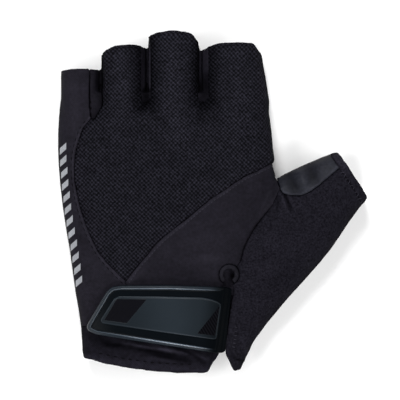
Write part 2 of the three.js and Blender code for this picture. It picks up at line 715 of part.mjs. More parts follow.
const strapInlay = sheet(floorTop + STRAP_GAP, plateTop - STRAP_PLATE_DROP).intersect(prism(inlayOutline));

// Tape round the head of the slit, open at the bottom where the slit begins.
function bindingRing() {
  const radius = KEYHOLE_RADIUS + BINDING_WIDTH / 2;
  const open = BINDING_OPENING / 2;
  const sections = Array.from({ length: BINDING_STEPS + 1 }, (_, i) => {
    const angle = THREE.MathUtils.degToRad(-90 + open + ((360 - 2 * open) * i) / BINDING_STEPS);
    const out = new THREE.Vector3(Math.cos(angle), Math.sin(angle), 0);
    const middle = new THREE.Vector3(slitHead.x, slitHead.y, 0).addScaledVector(out, radius);
    middle.z = backHeight(middle.x, middle.y) - BACK_WALL / 2;
    return Array.from({ length: BINDING_SIDES }, (_, j) => {
      const turn = (-2 * Math.PI * j) / BINDING_SIDES;
      const point = middle.clone().addScaledVector(out, (Math.cos(turn) * BINDING_WIDTH) / 2);
      point.z += (Math.sin(turn) * BINDING_HEIGHT) / 2;
      return point;
    });
  });
  return loft(sections);
}

// Each piece with its colour and finish.
const PIECES = [
  { name: "back_mesh_panel", made: pieceAt(panels, 0.5, 0.75), colour: 0x1f1e25, roughness: 0.9 },
  { name: "outer_side_panel", made: pieceAt(panels, 0.05, 0.95), colour: 0x26252d, roughness: 0.7 },
  { name: "wrist_back_panel", made: pieceAt(panels, 0.65, 0.42), colour: 0x25242b, roughness: 0.7 },
  { name: "thumb_back_panel", made: pieceAt(panels, 1.05, 0.45), colour: 0x1c1b22, roughness: 0.95 },
  { name: "thumb_gusset", made: pieceAt(panels, 1.15, 0.7), colour: 0x2b2b32, roughness: 0.6 },
  { name: "cuff", made: pieceAt(panels, 0.45, 0.06), colour: 0x17171e, roughness: 0.9 },
  ...STRIPS.map(({ name }, n) => ({
    name,
    made: pieceAt(panels, slitAcross(n) / HAND_WIDTH, 1.02),
    colour: 0x232229,
    roughness: 0.75,
  })),
  { name: "thumb_hem", made: thumbHem, colour: 0x1a1920, roughness: 0.9 },
  { name: "palm_panel", made: palm, colour: 0x1b1a20, roughness: 0.95 },
  { name: "keyhole_binding", made: bindingRing(), colour: 0x24232a, roughness: 0.7 },
  { name: "strap_web", made: strapWeb, colour: 0x15151b, roughness: 0.9 },
  { name: "strap_tab", made: strapTab, colour: 0x14151c, roughness: 0.5 },
  { name: "strap_plate", made: strapPlate, colour: 0x2b3239, roughness: 0.4 },
  { name: "strap_inlay", made: strapInlay, colour: 0x16151d, roughness: 0.5 },
];

const group = new THREE.Group();
group.name = "cycling_glove";
for (const { name, made, colour, roughness } of PIECES) {
  const material = new THREE.MeshStandardMaterial({ color: colour, roughness, metalness: 0 });
  const mesh = new THREE.Mesh(geometryOf(made), material);
  mesh.name = name;
  group.add(mesh);
}

// The middle of the glove's box lies over the origin and its sole on the floor.
const box = new THREE.Box3().setFromObject(group);
const middle = box.getCenter(new THREE.Vector3());
group.position.set(-middle.x, -middle.y, -box.min.z);
export default group;
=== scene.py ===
"""Short-finger cycling glove for the left hand, lying on its palm: cloth, stitches, strap and light."""

import logging
import math
from collections.abc import Callable
from dataclasses import dataclass, replace
from enum import Enum

import bmesh
import bpy
import numpy as np
from mathutils import Matrix, Vector
from mathutils.bvhtree import BVHTree
from mathutils.kdtree import KDTree


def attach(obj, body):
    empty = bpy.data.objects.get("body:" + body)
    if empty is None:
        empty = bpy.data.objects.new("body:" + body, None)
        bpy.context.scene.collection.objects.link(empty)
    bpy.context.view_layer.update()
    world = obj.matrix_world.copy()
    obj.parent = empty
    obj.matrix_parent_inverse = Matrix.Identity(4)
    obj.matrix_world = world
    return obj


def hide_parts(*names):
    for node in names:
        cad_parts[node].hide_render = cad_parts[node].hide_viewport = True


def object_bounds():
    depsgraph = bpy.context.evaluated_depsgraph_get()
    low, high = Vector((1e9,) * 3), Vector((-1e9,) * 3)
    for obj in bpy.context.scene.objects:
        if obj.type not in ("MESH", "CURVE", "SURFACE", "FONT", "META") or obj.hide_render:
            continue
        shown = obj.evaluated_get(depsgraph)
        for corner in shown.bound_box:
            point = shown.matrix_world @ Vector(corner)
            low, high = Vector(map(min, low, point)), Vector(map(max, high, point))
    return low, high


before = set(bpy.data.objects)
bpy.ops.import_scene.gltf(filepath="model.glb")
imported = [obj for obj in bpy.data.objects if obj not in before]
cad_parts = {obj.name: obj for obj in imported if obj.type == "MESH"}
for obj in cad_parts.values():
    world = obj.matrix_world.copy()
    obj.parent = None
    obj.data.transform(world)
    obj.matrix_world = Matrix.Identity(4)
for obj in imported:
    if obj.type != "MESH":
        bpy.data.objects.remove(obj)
CAD_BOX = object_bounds()

LOG = logging.getLogger("glove")
MM = 0.001
# Corners of the CAD nodes that lie closer than this are one corner.
SAME_PLACE = 0.002 * MM
# Length of no account, in metres, that keeps a division from failing.
TINY = 1e-9
SEED = 7
Array = np.ndarray
HeightRule = Callable[[Array], Array]
Piece = bpy.types.Object
Mesh = bpy.types.Mesh
Tree = bpy.types.NodeTree
Socket = bpy.types.NodeSocket

# Step and reach of the search for the edge of a piece of cloth.
EDGE_STEP = 0.1 * MM
EDGE_REACH = 30 * MM

# Turns a sphere's poles from Z to X.
ACROSS = Matrix.Rotation(math.pi / 2, 3, "Y")

# The photo's frame, in its own pixels, and how large a pixel is on the glove.
PHOTO_SIDE = 400
PHOTO_PIXEL = 0.46 * MM
PHOTO_MIDDLE = (212.86, 201.5)


def plan(px: float, py: float) -> Array:
    """x and y in metres of the place on the table that a pixel of the photo shows."""
    return np.array([px - PHOTO_MIDDLE[0], PHOTO_MIDDLE[1] - py]) * PHOTO_PIXEL


def photo_line(*places: tuple[float, float]) -> Array:
    """Plan points of some places in the photo's pixels, one row for each."""
    return np.array([plan(*place) for place in places])


def linear(colour: str) -> tuple[float, float, float, float]:
    """Linear colour from an sRGB hex value.

    Args:
        colour: six hex digits.

    Returns:
        Red, green, blue and alpha for a shader's socket.
    """
    shares = [int(colour[i : i + 2], 16) / 255 for i in (0, 2, 4)]
    bent = [c / 12.92 if c <= 0.04045 else ((c + 0.055) / 1.055) ** 2.4 for c in shares]
    return (*bent, 1.0)


def add_node(
    tree: Tree,
    kind: str,
    settings: dict[str, object] | None = None,
    links: dict[str | int, Socket] | None = None,
) -> bpy.types.Node:
    """Adds a shader node with its settings and what feeds it.

    Args:
        tree: the material's tree.
        kind: the node's type without its ShaderNode prefix.
        settings: values by attribute name, or by input name or number.
        links: source sockets by input name or number.

    Returns:
        The new node.
    """
    node = tree.nodes.new("ShaderNode" + kind)
    for key, value in (settings or {}).items():
        if isinstance(key, str) and hasattr(node, key):
            setattr(node, key, value)
        else:
            node.inputs[key].default_value = value
    for key, socket in (links or {}).items():
        tree.links.new(socket, node.inputs[key])
    return node


def worked_out(
    tree: Tree, operation: str, *terms: Socket | float
) -> Socket:
    """Adds a sum, a product or the like.

    Args:
        tree: the material's tree.
        operation: what the maths node does.
        terms: a source socket or a number for each input.

    Returns:
        The result's socket.
    """
    node = add_node(tree, "Math", {"operation": operation})
    for number, term in enumerate(terms):
        if isinstance(term, Socket):
            tree.links.new(term, node.inputs[number])
        else:
            node.inputs[number].default_value = term
    return node.outputs[0]


def mapped(
    tree: Tree,
    value: Socket,
    low: float,
    high: float,
    settings: dict[str, object] | None = None,
) -> Socket:
    """Stretches the range from low to high to 0 to 1, or to what the settings say."""
    ranged = {"From Min": low, "From Max": high, **(settings or {})}
    return add_node(tree, "MapRange", ranged, {"Value": value}).outputs["Result"]


def noise(
    tree: Tree, place: Socket, scale: float, detail: float, rough: float = 0.5
) -> bpy.types.Node:
    """Adds a noise texture: waves in a metre, finer layers, and how strong these are."""
    settings = {"Scale": scale, "Detail": detail, "Roughness": rough}
    return add_node(tree, "TexNoise", settings, {"Vector": place})


def blended(
    tree: Tree, share: Socket, first: str, second: str
) -> Socket:
    """Mixes two colours given as hex values; the share is that of the second."""
    settings = {"data_type": "RGBA", 6: linear(first), 7: linear(second)}
    return add_node(tree, "Mix", settings, {0: share}).outputs[2]


def blank_material(name: str) -> bpy.types.Material:
    """Adds a material with an empty node tree.

    Args:
        name: the material's name.

    Returns:
        The material.
    """
    made = bpy.data.materials.new(name)
    made.use_nodes = True
    made.node_tree.nodes.clear()
    return made


def in_scene(name: str, data: bpy.types.ID) -> Piece:
    """Adds an object to the scene.

    Args:
        name: the object's name.
        data: its mesh, lamp or camera.

    Returns:
        The object.
    """
    made = bpy.data.objects.new(name, data)
    bpy.context.scene.collection.objects.link(made)
    return made


class Cloth(Enum):
    """How a finish's surface is made."""

    AIR_MESH = "air mesh"
    KNIT = "knit"
    SUEDE = "suede"
    SATIN = "satin"
    MOULDED = "moulded"


@dataclass(frozen=True)
class Finish:
    """A named finish: its colours, its gloss and the size of its pattern."""

    name: str
    cloth: Cloth
    colour: str
    deep: str
    roughness: float
    specular: float
    pitch: float = 1.5 * MM
    relief: float = 0.15 * MM
    mottle: float = 0.3
    mottle_size: float = 9 * MM

    def surface(self, tree: Tree) -> tuple[Socket, Socket]:
        """Pattern of the surface.

        Args:
            tree: the material's tree.

        Returns:
            How far each point is the light colour, and its height from 0 to 1.
        """
        place = add_node(tree, "TexCoord").outputs["Object"]
        if self.cloth is Cloth.AIR_MESH:
            return self.lattice(tree)
        if self.cloth is Cloth.KNIT:
            return self.knit(tree)
        detail = {Cloth.SUEDE: 5.0, Cloth.SATIN: 2.0, Cloth.MOULDED: 2.0}[self.cloth]
        grain = noise(tree, place, 1 / self.pitch, detail, 0.65).outputs["Fac"]
        return mapped(tree, grain, 0.3, 0.7), grain

    def wave(
        self, tree: Tree, u: Socket, v: Socket, turn: str
    ) -> Socket:
        """One family of slanting threads: 1 on the middle of each and 0 half way to the next."""
        turns = worked_out(tree, "MULTIPLY", worked_out(tree, turn, u, v), 2 * math.pi / self.pitch)
        return mapped(tree, worked_out(tree, "COSINE", turns), -1.0, 1.0)

    def cloth_place(self, tree: Tree, wander: float) -> tuple[Socket, ...]:
        """Cloth coordinates, a little uneven as in a real knit.

        Args:
            tree: the material's tree.
            wander: how far a thread strays, in metres.

        Returns:
            The two coordinates in metres.
        """
        uv = add_node(tree, "UVMap", {"uv_map": "weave"}).outputs["UV"]
        stray = noise(tree, uv, 0.25 / self.pitch, 1.0).outputs["Color"]
        centred = add_node(tree, "VectorMath", {"operation": "SUBTRACT", 1: (0.5, 0.5, 0.5)}, {0: stray})
        scaled = {"operation": "SCALE", "Scale": wander}
        small = add_node(tree, "VectorMath", scaled, {0: centred.outputs[0]})
        moved = add_node(tree, "VectorMath", {"operation": "ADD"}, {0: uv, 1: small.outputs[0]})
        split = add_node(tree, "SeparateXYZ", {}, {0: moved.outputs[0]})
        return split.outputs["X"], split.outputs["Y"]

    def lattice(self, tree: Tree) -> tuple[Socket, Socket]:
        """Open air mesh: two families of threads with round holes between them.

        Args:
            tree: the material's tree.

        Returns:
            Share of the thread's colour, and height.
        """
        u, v = self.cloth_place(tree, 0.9 * MM)
        one = self.wave(tree, u, v, "ADD")
        other = self.wave(tree, u, v, "SUBTRACT")
        weaker_family, strand_height, looseness = 0.8, 0.7, 2.8
        thread = worked_out(tree, "MAXIMUM", one, worked_out(tree, "MULTIPLY", other, weaker_family))
        strand = worked_out(tree, "MULTIPLY", thread, strand_height)
        knot = worked_out(tree, "MULTIPLY", one, other)
        height = worked_out(tree, "ADD", knot, strand)
        both = add_node(tree, "CombineXYZ", {}, {"X": u, "Y": v}).outputs[0]
        loose = noise(tree, both, 1.5 / self.pitch, 2.0, 0.7).outputs["Fac"]
        uneven = worked_out(tree, "MULTIPLY_ADD", loose, looseness, height)
        return mapped(tree, uneven, 1.3, 3.4, {"interpolation_type": "SMOOTHSTEP"}), height

    def knit(self, tree: Tree) -> tuple[Socket, Socket]:
        """Fine elastane knit: close rows of loops under a soft unevenness.

        Args:
            tree: the material's tree.

        Returns:
            Share of the light colour, and height.
        """
        u, v = self.cloth_place(tree, 0.6 * MM)
        rows = self.wave(tree, u, v, "ADD")
        both = add_node(tree, "CombineXYZ", {}, {"X": u, "Y": v}).outputs[0]
        fuzz = noise(tree, both, 0.6 / self.pitch, 3.0, 0.7).outputs["Fac"]
        row_height = 0.25
        height = worked_out(tree, "MULTIPLY_ADD", rows, row_height, fuzz)
        return mapped(tree, height, 0.3, 0.95), height

    def material(self) -> bpy.types.Material:
        """Builds the finish once and gives it again after that.

        Returns:
            The material.
        """
        known = bpy.data.materials.get(self.name)
        if known:
            return known
        made = blank_material(self.name)
        tree = made.node_tree
        share, height = self.surface(tree)
        base = blended(tree, share, self.deep, self.colour)
        place = add_node(tree, "TexCoord").outputs["Object"]
        patches = noise(tree, place, 1 / self.mottle_size, 2.0).outputs["Fac"]
        worn = {"To Min": 1 - self.mottle, "To Max": 1 + self.mottle}
        shade = mapped(tree, patches, 0.3, 0.7, worn)
        # The shade attribute carries painted light and shade; it scales both the colour and the gloss.
        laid = add_node(tree, "Attribute", {"attribute_name": "shade"}).outputs["Fac"]
        both = worked_out(tree, "MULTIPLY", shade, laid)
        tinted = add_node(tree, "VectorMath", {"operation": "SCALE"}, {0: base, "Scale": both}).outputs[0]
        bump = add_node(tree, "Bump", {"Strength": 1.0, "Distance": self.relief}, {"Height": height})
        gloss = worked_out(tree, "MULTIPLY", laid, self.specular)
        inputs = {"Base Color": tinted, "Normal": bump.outputs[0], "Specular IOR Level": gloss}
        shader = add_node(tree, "BsdfPrincipled", {"Roughness": self.roughness}, inputs)
        add_node(tree, "OutputMaterial", {}, {"Surface": shader.outputs[0]})
        return made


# Warp-knitted polyester air mesh: light threads round dark holes, so it reads as a fine diamond lattice.
AIR_MESH = Finish("polyester_air_mesh", Cloth.AIR_MESH, "2a2932", "08080b", 0.85, 0.03,
                  pitch=1.9 * MM, relief=0.3 * MM, mottle=0.2, mottle_size=5 * MM)
# Elastane-coated knit: smooth and matt, a little lighter than the mesh.
ELASTANE = Finish("matt_elastane_knit", Cloth.KNIT, "1e1c24", "0e0d12", 0.7, 0.05,
                  pitch=0.9 * MM, relief=0.1 * MM, mottle=0.14, mottle_size=5 * MM)
# Microfibre suede: short brushed pile that shows as a cloudy grain.
SUEDE = Finish("brushed_microfibre_suede", Cloth.SUEDE, "1d1c23", "060509", 0.9, 0.03,
               pitch=0.9 * MM, relief=0.3 * MM, mottle=0.12, mottle_size=4 * MM)
# Satin elastane: a smooth face with a broad soft shine.
SATIN = Finish("satin_elastane", Cloth.SATIN, "24252c", "1b1c22", 0.5, 0.06,
               pitch=1.2 * MM, relief=0.03 * MM, mottle=0.1, mottle_size=5 * MM)
# Elastic ribbed knit of the cuff: darker, drawn together.
CUFF_KNIT = Finish("elastic_cuff_knit", Cloth.KNIT, "17161d", "060508", 0.85, 0.03,
                   pitch=1.0 * MM, relief=0.2 * MM, mottle=0.22, mottle_size=4 * MM)
# Woven binding tape, tighter and a little glossier than the knit beside it.
TAPE = Finish("woven_binding_tape", Cloth.KNIT, "1c1b22", "0a090d", 0.65, 0.05,
              pitch=0.7 * MM, relief=0.1 * MM)
# Injection-moulded rubber: even and satin, so its edges catch long highlights.
RUBBER = Finish("moulded_satin_rubber", Cloth.MOULDED, "1b2229", "171e25", 0.34, 0.16,
                pitch=0.5 * MM, relief=0.006 * MM, mottle=0.06)
# The same rubber in slate grey for the tab's plate.
SLATE_RUBBER = Finish("moulded_slate_rubber", Cloth.MOULDED, "1c2329", "181f25", 0.4, 0.14,
                      pitch=0.5 * MM, relief=0.008 * MM, mottle=0.08, mottle_size=22 * MM)
# Near-black matt rubber of the inlay and the hatched corner.
DARK_RUBBER = Finish("moulded_black_rubber", Cloth.MOULDED, "08080d", "040408", 0.6, 0.04,
                     pitch=0.5 * MM, relief=0.02 * MM, mottle=0.12)
# Polyester sewing thread: thin and slightly lustrous.
THREAD = Finish("polyester_thread", Cloth.MOULDED, "2e2d37", "201f27", 0.5, 0.15,
                pitch=0.4 * MM, relief=0.02 * MM)
# Near-black thread that sinks into the cloth: partly the thread's own colour and partly painted shade of
# the needle holes.
DARK_THREAD_AND_PIT_SHADE = Finish("black_thread_and_pit_shade", Cloth.MOULDED, "040305", "020203", 0.7, 0.03,
                     pitch=0.4 * MM, relief=0.02 * MM)
# Silver heat-transfer film with a fine bead grain: the one bright thing on the glove.
SILVER_FILM = Finish("silver_reflective_film", Cloth.MOULDED, "8d8f94", "73757b", 0.45, 0.3,
                     pitch=0.4 * MM, relief=0.01 * MM, mottle=0.1)


def arrays(mesh: Mesh) -> tuple[Array, Array]:
    """Points and normals of a mesh.

    Args:
        mesh: the mesh.

    Returns:
        Two arrays of one row for each vertex.
    """
    points = np.empty(len(mesh.vertices) * 3)
    normals = np.empty(len(mesh.vertices) * 3)
    mesh.vertices.foreach_get("co", points)
    mesh.vertex_normals.foreach_get("vector", normals)
    return points.reshape(-1, 3), normals.reshape(-1, 3)


def put_points(mesh: Mesh, points: Array) -> None:
    """Moves a mesh's vertices to the points, one row for each vertex."""
    mesh.vertices.foreach_set("co", points.ravel())
    mesh.update()


def edge_pairs(mesh: Mesh) -> Array:
    """Finds which vertices each edge joins.

    Args:
        mesh: the mesh.

    Returns:
        Two vertex numbers for each edge.
    """
    pairs = np.empty(len(mesh.edges) * 2, dtype=np.int64)
    mesh.edges.foreach_get("vertices", pairs)
    return pairs.reshape(-1, 2)


def neighbour_mean(values: Array, pairs: Array) -> Array:
    """Mean of each vertex's neighbours.

    Args:
        values: one row for each vertex.
        pairs: the mesh's edges.

    Returns:
        One row for each vertex.
    """
    count = np.bincount(pairs.ravel(), minlength=len(values))
    total = np.empty_like(values)
    for axis in range(values.shape[1]):
        total[:, axis] = np.bincount(pairs[:, 0], values[pairs[:, 1], axis], len(values))
        total[:, axis] += np.bincount(pairs[:, 1], values[pairs[:, 0], axis], len(values))
    return total / np.maximum(count, 1)[:, None]


def relaxed(points: Array, pairs: Array, rounds: int, pull: float, push: float) -> Array:
    """Smooths a surface; a push about as strong as the pull keeps its size.

    Args:
        points: one row for each vertex.
        pairs: the mesh's edges.
        rounds: how many times.
        pull: share of the way to the neighbours' mean.
        push: share of the way back.

    Returns:
        The moved points.
    """
    for _ in range(rounds):
        points = points + pull * (neighbour_mean(points, pairs) - points)
        if push:
            points = points - push * (neighbour_mean(points, pairs) - points)
    return points


def joined_copy(name: str, nodes: list[str]) -> Piece:
    """A merged copy of some CAD nodes.

    Args:
        name: the new object's name.
        nodes: names of the nodes.

    Returns:
        The new object, linked to the scene.
    """
    shape = bmesh.new()
    for node in nodes:
        shape.from_mesh(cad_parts[node].data)
    bmesh.ops.remove_doubles(shape, verts=shape.verts, dist=SAME_PLACE)
    mesh = bpy.data.meshes.new(name)
    shape.to_mesh(mesh)
    shape.free()
    return in_scene(name, mesh)


def remeshed(obj: Piece, voxel: float) -> None:
    """Draws an object's surface again in even small faces.

    Args:
        obj: the object, whose mesh is replaced.
        voxel: side of a face, in metres.
    """
    even = obj.modifiers.new("Even faces", "REMESH")
    even.mode = "VOXEL"
    even.voxel_size = voxel
    even.use_smooth_shade = True
    graph = bpy.context.evaluated_depsgraph_get()
    mesh = bpy.data.meshes.new_from_object(obj.evaluated_get(graph))
    mesh.name = obj.name
    obj.modifiers.clear()
    obj.data = mesh


def surface_tree(node: str) -> BVHTree:
    """Makes a search tree of a CAD node's surface.

    Args:
        node: the node's name.

    Returns:
        The tree.
    """
    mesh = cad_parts[node].data
    mesh.calc_loop_triangles()
    corners = [tuple(t.vertices) for t in mesh.loop_triangles]
    return BVHTree.FromPolygons([v.co.copy() for v in mesh.vertices], corners)


def finished_tree(piece: Piece) -> BVHTree:
    """Search tree of a finished piece's surface."""
    return BVHTree.FromObject(piece, bpy.context.evaluated_depsgraph_get())


def from_above(tree: BVHTree, x: float, y: float) -> tuple[Vector | None, Vector | None]:
    """Highest point of a surface at a plan point and its normal, or nothing beside the surface."""
    return tree.ray_cast(Vector((x, y, 1.0)), Vector((0, 0, -1)))[:2]


SHELL = [
    "back_mesh_panel",
    "outer_side_panel",
    "wrist_back_panel",
    "thumb_back_panel",
    "thumb_gusset",
    "palm_panel",
    "fourchette_little_ring",
    "fourchette_ring_middle",
    "fourchette_middle_index",
    "thumb_hem",
    "cuff",
]


class Form:
    """The glove's whole form, smoothed, and how far each place moved from the CAD facets."""

    voxel: float = 1.0 * MM
    rounds: int = 120
    pull: float = 0.5
    push: float = 0.52
    near: int = 3

    def __init__(self) -> None:
        """Smooths the joined shell and keeps each point's move."""
        whole = joined_copy("form_reference", SHELL)
        remeshed(whole, self.voxel)
        points, _ = arrays(whole.data)
        pairs = edge_pairs(whole.data)
        smooth = relaxed(points, pairs, self.rounds, self.pull, self.push)
        self.moves = smooth - points
        self.tree = KDTree(len(points))
        for number, point in enumerate(points):
            self.tree.insert(point, number)
        self.tree.balance()
        bpy.data.objects.remove(whole)

    def move(self, points: Array) -> Array:
        """Points of a panel moved as the whole form moved.

        Args:
            points: one row for each vertex, on the CAD shape.

        Returns:
            The moved points.
        """
        moved = points.copy()
        for number, point in enumerate(points):
            found = self.tree.find_n(point, self.near)
            weights = np.array([1 / (distance + 0.2 * MM) for _, _, distance in found])
            near = [index for _, index, _ in found]
            moved[number] += weights @ self.moves[near] / weights.sum()
        return moved


def nearest(points: Array, tree: BVHTree, reach: float) -> tuple[Array, Array]:
    """Distance and direction of each point to a surface.

    Args:
        points: one row for each vertex.
        tree: the surface.
        reach: largest distance that matters, in metres.

    Returns:
        One distance for each point, the reach where it is further, and unit directions.
    """
    far = np.full(len(points), reach)
    way = np.zeros((len(points), 3))
    for number, point in enumerate(points):
        place, _, _, distance = tree.find_nearest(point, reach)
        if place is not None:
            far[number] = distance
            way[number] = (np.array(place) - point) / max(distance, TINY)
    return far, way


def bumped(distance: Array, middle: float, width: float) -> Array:
    """A smooth bump of height 1 at the middle, as wide on each side as the width says."""
    return np.exp(-(((distance - middle) / width) ** 2))


def smoothstep(value: Array, low: float, high: float) -> Array:
    """0 below low, 1 above high, and smooth between."""
    t = np.clip((value - low) / (high - low), 0, 1)
    return t * t * (3 - 2 * t)


@dataclass(frozen=True)
class Seam:
    """How a panel's cloth lies along the seam with one neighbour.

    The class's own values say where each mark lies and how far it spreads, in metres from the neighbour.
    """

    LIP_AT = 0.2 * MM
    CLOSE_AT = 0.3 * MM
    GROOVE_WIDTH = 0.45 * MM
    PUCKER_WIDTH = 1.6 * MM
    SWELL_AT = 3.6 * MM
    SWELL_WIDTH = 1.8 * MM
    LIGHT_AT = 0.9 * MM
    LIGHT_WIDTH = 0.5 * MM

    neighbour: str
    lip: float = 0.0
    lip_width: float = 1.1 * MM
    groove: float = 0.0
    groove_at: float = 1.4 * MM
    swell: float = 0.0
    pucker: float = 0.05 * MM
    pitch: float = 2.6 * MM
    # Painted light: edge_shade is a painted highlight on the folded edge, line_shade painted shadow in
    # the seam's line, side_shade painted shade down the sides towards the neighbour.
    edge_shade: float = 1.0
    line_shade: float = 0.5
    line_width: float = 0.35 * MM
    side_shade: float = 1.0
    side_width: float = 3 * MM
    close: float = 0.15 * MM
    close_width: float = 0.8 * MM
    reach: float = 7 * MM

    def lay(self, points: Array, tree: BVHTree) -> tuple[Array, Array, Array]:
        """What the seam does to each point.

        Args:
            points: one row for each vertex, on the CAD shape.
            tree: the neighbour's surface.

        Returns:
            Height along the surface's outward direction in metres, the colour's multiplier, and how
            far the edge is drawn to its neighbour.
        """
        distance, way = nearest(points, tree, self.reach)
        drawn = way * (bumped(distance, self.CLOSE_AT, self.close_width) * self.close)[:, None]
        edge = bumped(distance, self.LIP_AT, self.lip_width) * self.lip
        dip = bumped(distance, self.groove_at, self.GROOVE_WIDTH) * self.groove
        soft = bumped(distance, self.SWELL_AT, self.SWELL_WIDTH) * self.swell
        along = (points[:, 0] * 0.8 + points[:, 1] * 1.1) / self.pitch * 2 * math.pi
        ripple = np.cos(along) * bumped(distance, self.groove_at, self.PUCKER_WIDTH) * self.pucker
        height = np.where(distance < self.reach, edge - dip + soft + ripple, 0.0)
        # Painted highlight on the folded edge, painted shadow in the seam's line that comes and goes with
        # the stitches, and painted shade towards the neighbour.
        lit = 1 + (self.edge_shade - 1) * bumped(distance, self.LIGHT_AT, self.LIGHT_WIDTH)
        shadow_rhythm = 0.75 + 0.25 * np.cos(along)
        dark = 1 - (1 - self.line_shade) * bumped(distance, self.LIP_AT, self.line_width) * shadow_rhythm
        wide = 1 - (1 - self.side_shade) * bumped(distance, 0.0, self.side_width)
        return height, lit * dark * wide, drawn


@dataclass(frozen=True)
class Fold:
    """A ridge or furrow of the cloth along a short bent line, placed on the photo's frame.

    Its height and its width on each side are in millimetres. It fades at both ends as a sine wave does
    whose first and last share are cut off.
    """

    CUT = 0.06

    start: tuple[float, float]
    bend: tuple[float, float]
    end: tuple[float, float]
    height: float
    width: float
    # Painted light: above 1 a painted highlight along the ridge, below 1 painted shade in the furrow.
    shade: float = 1.0
    steps: int = 30
    taper: float = 0.6

    def lay(self, points: Array) -> tuple[Array, Array, Array]:
        """What the fold does to each point.

        Args:
            points: one row for each vertex.

        Returns:
            Height in metres, below zero in a furrow, the colour's multiplier, and no sideways move.
        """
        a, b, c = plan(*self.start), plan(*self.bend), plan(*self.end)
        t = np.linspace(0, 1, self.steps)[:, None]
        line = (1 - t) ** 2 * a + 2 * t * (1 - t) * b + t**2 * c
        fade = np.sin(np.pi * np.linspace(self.CUT, 1 - self.CUT, self.steps)) ** self.taper
        strength = np.zeros(len(points))
        for place, share in zip(line, fade):
            distance = np.linalg.norm(points[:, :2] - place, axis=1)
            strength = np.maximum(strength, share * bumped(distance, 0.0, self.width * MM))
        return strength * (self.height * MM), 1 + (self.shade - 1) * strength, np.zeros_like(points)


def drape(points: Array, size: float, height: float, seed: int) -> Array:
    """Slow unevenness of cloth, from a few seeded waves.

    Args:
        points: one row for each vertex.
        size: length of the waves, in metres.
        height: their height, in metres.
        seed: what the directions are drawn from.

    Returns:
        Height of each point.
    """
    draws = np.random.default_rng(SEED + seed)
    total = np.zeros(len(points))
    waves = 7
    for _ in range(waves):
        turn = draws.uniform(0, 2 * math.pi)
        length = size * draws.uniform(0.6, 1.6)
        way = np.array([math.cos(turn), math.sin(turn)]) * 2 * math.pi / length
        total += np.cos(points[:, :2] @ way + draws.uniform(0, 2 * math.pi))
    return total * height / math.sqrt(waves)


def set_shade(mesh: Mesh, shade: Array | float) -> None:
    """Keeps the colour's multiplier, which carries the painted light and shade, with each vertex: one
    value for each, or one for all.
    """
    layer = mesh.attributes.new("shade", "FLOAT", "POINT")
    layer.data.foreach_set("value", np.broadcast_to(shade, len(mesh.vertices)).astype(np.float32))


def weave_map(mesh: Mesh, points: Array, normals: Array) -> None:
    """Lays cloth coordinates in metres over a panel, down its sides as well as over its top.

    Args:
        mesh: the panel's mesh.
        points: its vertices.
        normals: its normals.
    """
    shoulder = 15 * MM
    down = np.maximum(shoulder - points[:, 2], 0)
    u = points[:, 0] + np.sign(normals[:, 0]) * down * np.abs(normals[:, 0])
    v = points[:, 1] + np.sign(normals[:, 1]) * down * np.abs(normals[:, 1])
    layer = mesh.uv_layers.new(name="weave")
    corners = np.empty(len(mesh.loops), dtype=np.int64)
    mesh.loops.foreach_get("vertex_index", corners)
    layer.data.foreach_set("uv", np.stack([u, v], axis=1)[corners].ravel())


def dress(piece: Piece, points: Array, finish: Finish, shade: Array | float) -> None:
    """Gives a piece its cloth coordinates, shade and finish, and lets it ride on the glove.

    Args:
        piece: the piece.
        points: its vertices where the cloth's pattern is laid on them.
        finish: its finish.
        shade: the colour's multiplier.
    """
    weave_map(piece.data, points, arrays(piece.data)[1])
    set_shade(piece.data, shade)
    piece.data.materials.append(finish.material())
    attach(piece, "root")
    LOG.info("%s: %d faces", piece.name, len(piece.data.polygons))


# What each piece is cut to before it is sewn: width and length in mm, and area in square cm.
CUTS = {
    "back_mesh_panel": (104, 126, 82.0),
    "outer_side_panel": (36, 130, 28.0),
    "wrist_back_panel": (78, 88, 31.5),
    "thumb_back_panel": (62, 105, 34.5),
    "thumb_gusset": (22, 38, 6.3),
    "fourchette_little_ring": (14, 34, 3.1),
    "fourchette_ring_middle": (16, 36, 5.1),
    "fourchette_middle_index": (15, 34, 4.5),
    "thumb_hem": (10, 58, 3.7),
    "cuff": (24, 70, 12.2),
    "keyhole_binding": (10, 10, 0.62),
    "strap_web": (26, 76, 15.0),
}


# The seam that joins the back to the palm: the back's edge is drawn down on it.
SIDE_SEAM = Seam("palm_panel", line_shade=0.85, pucker=0.0, close=0.4 * MM, close_width=0.7 * MM)


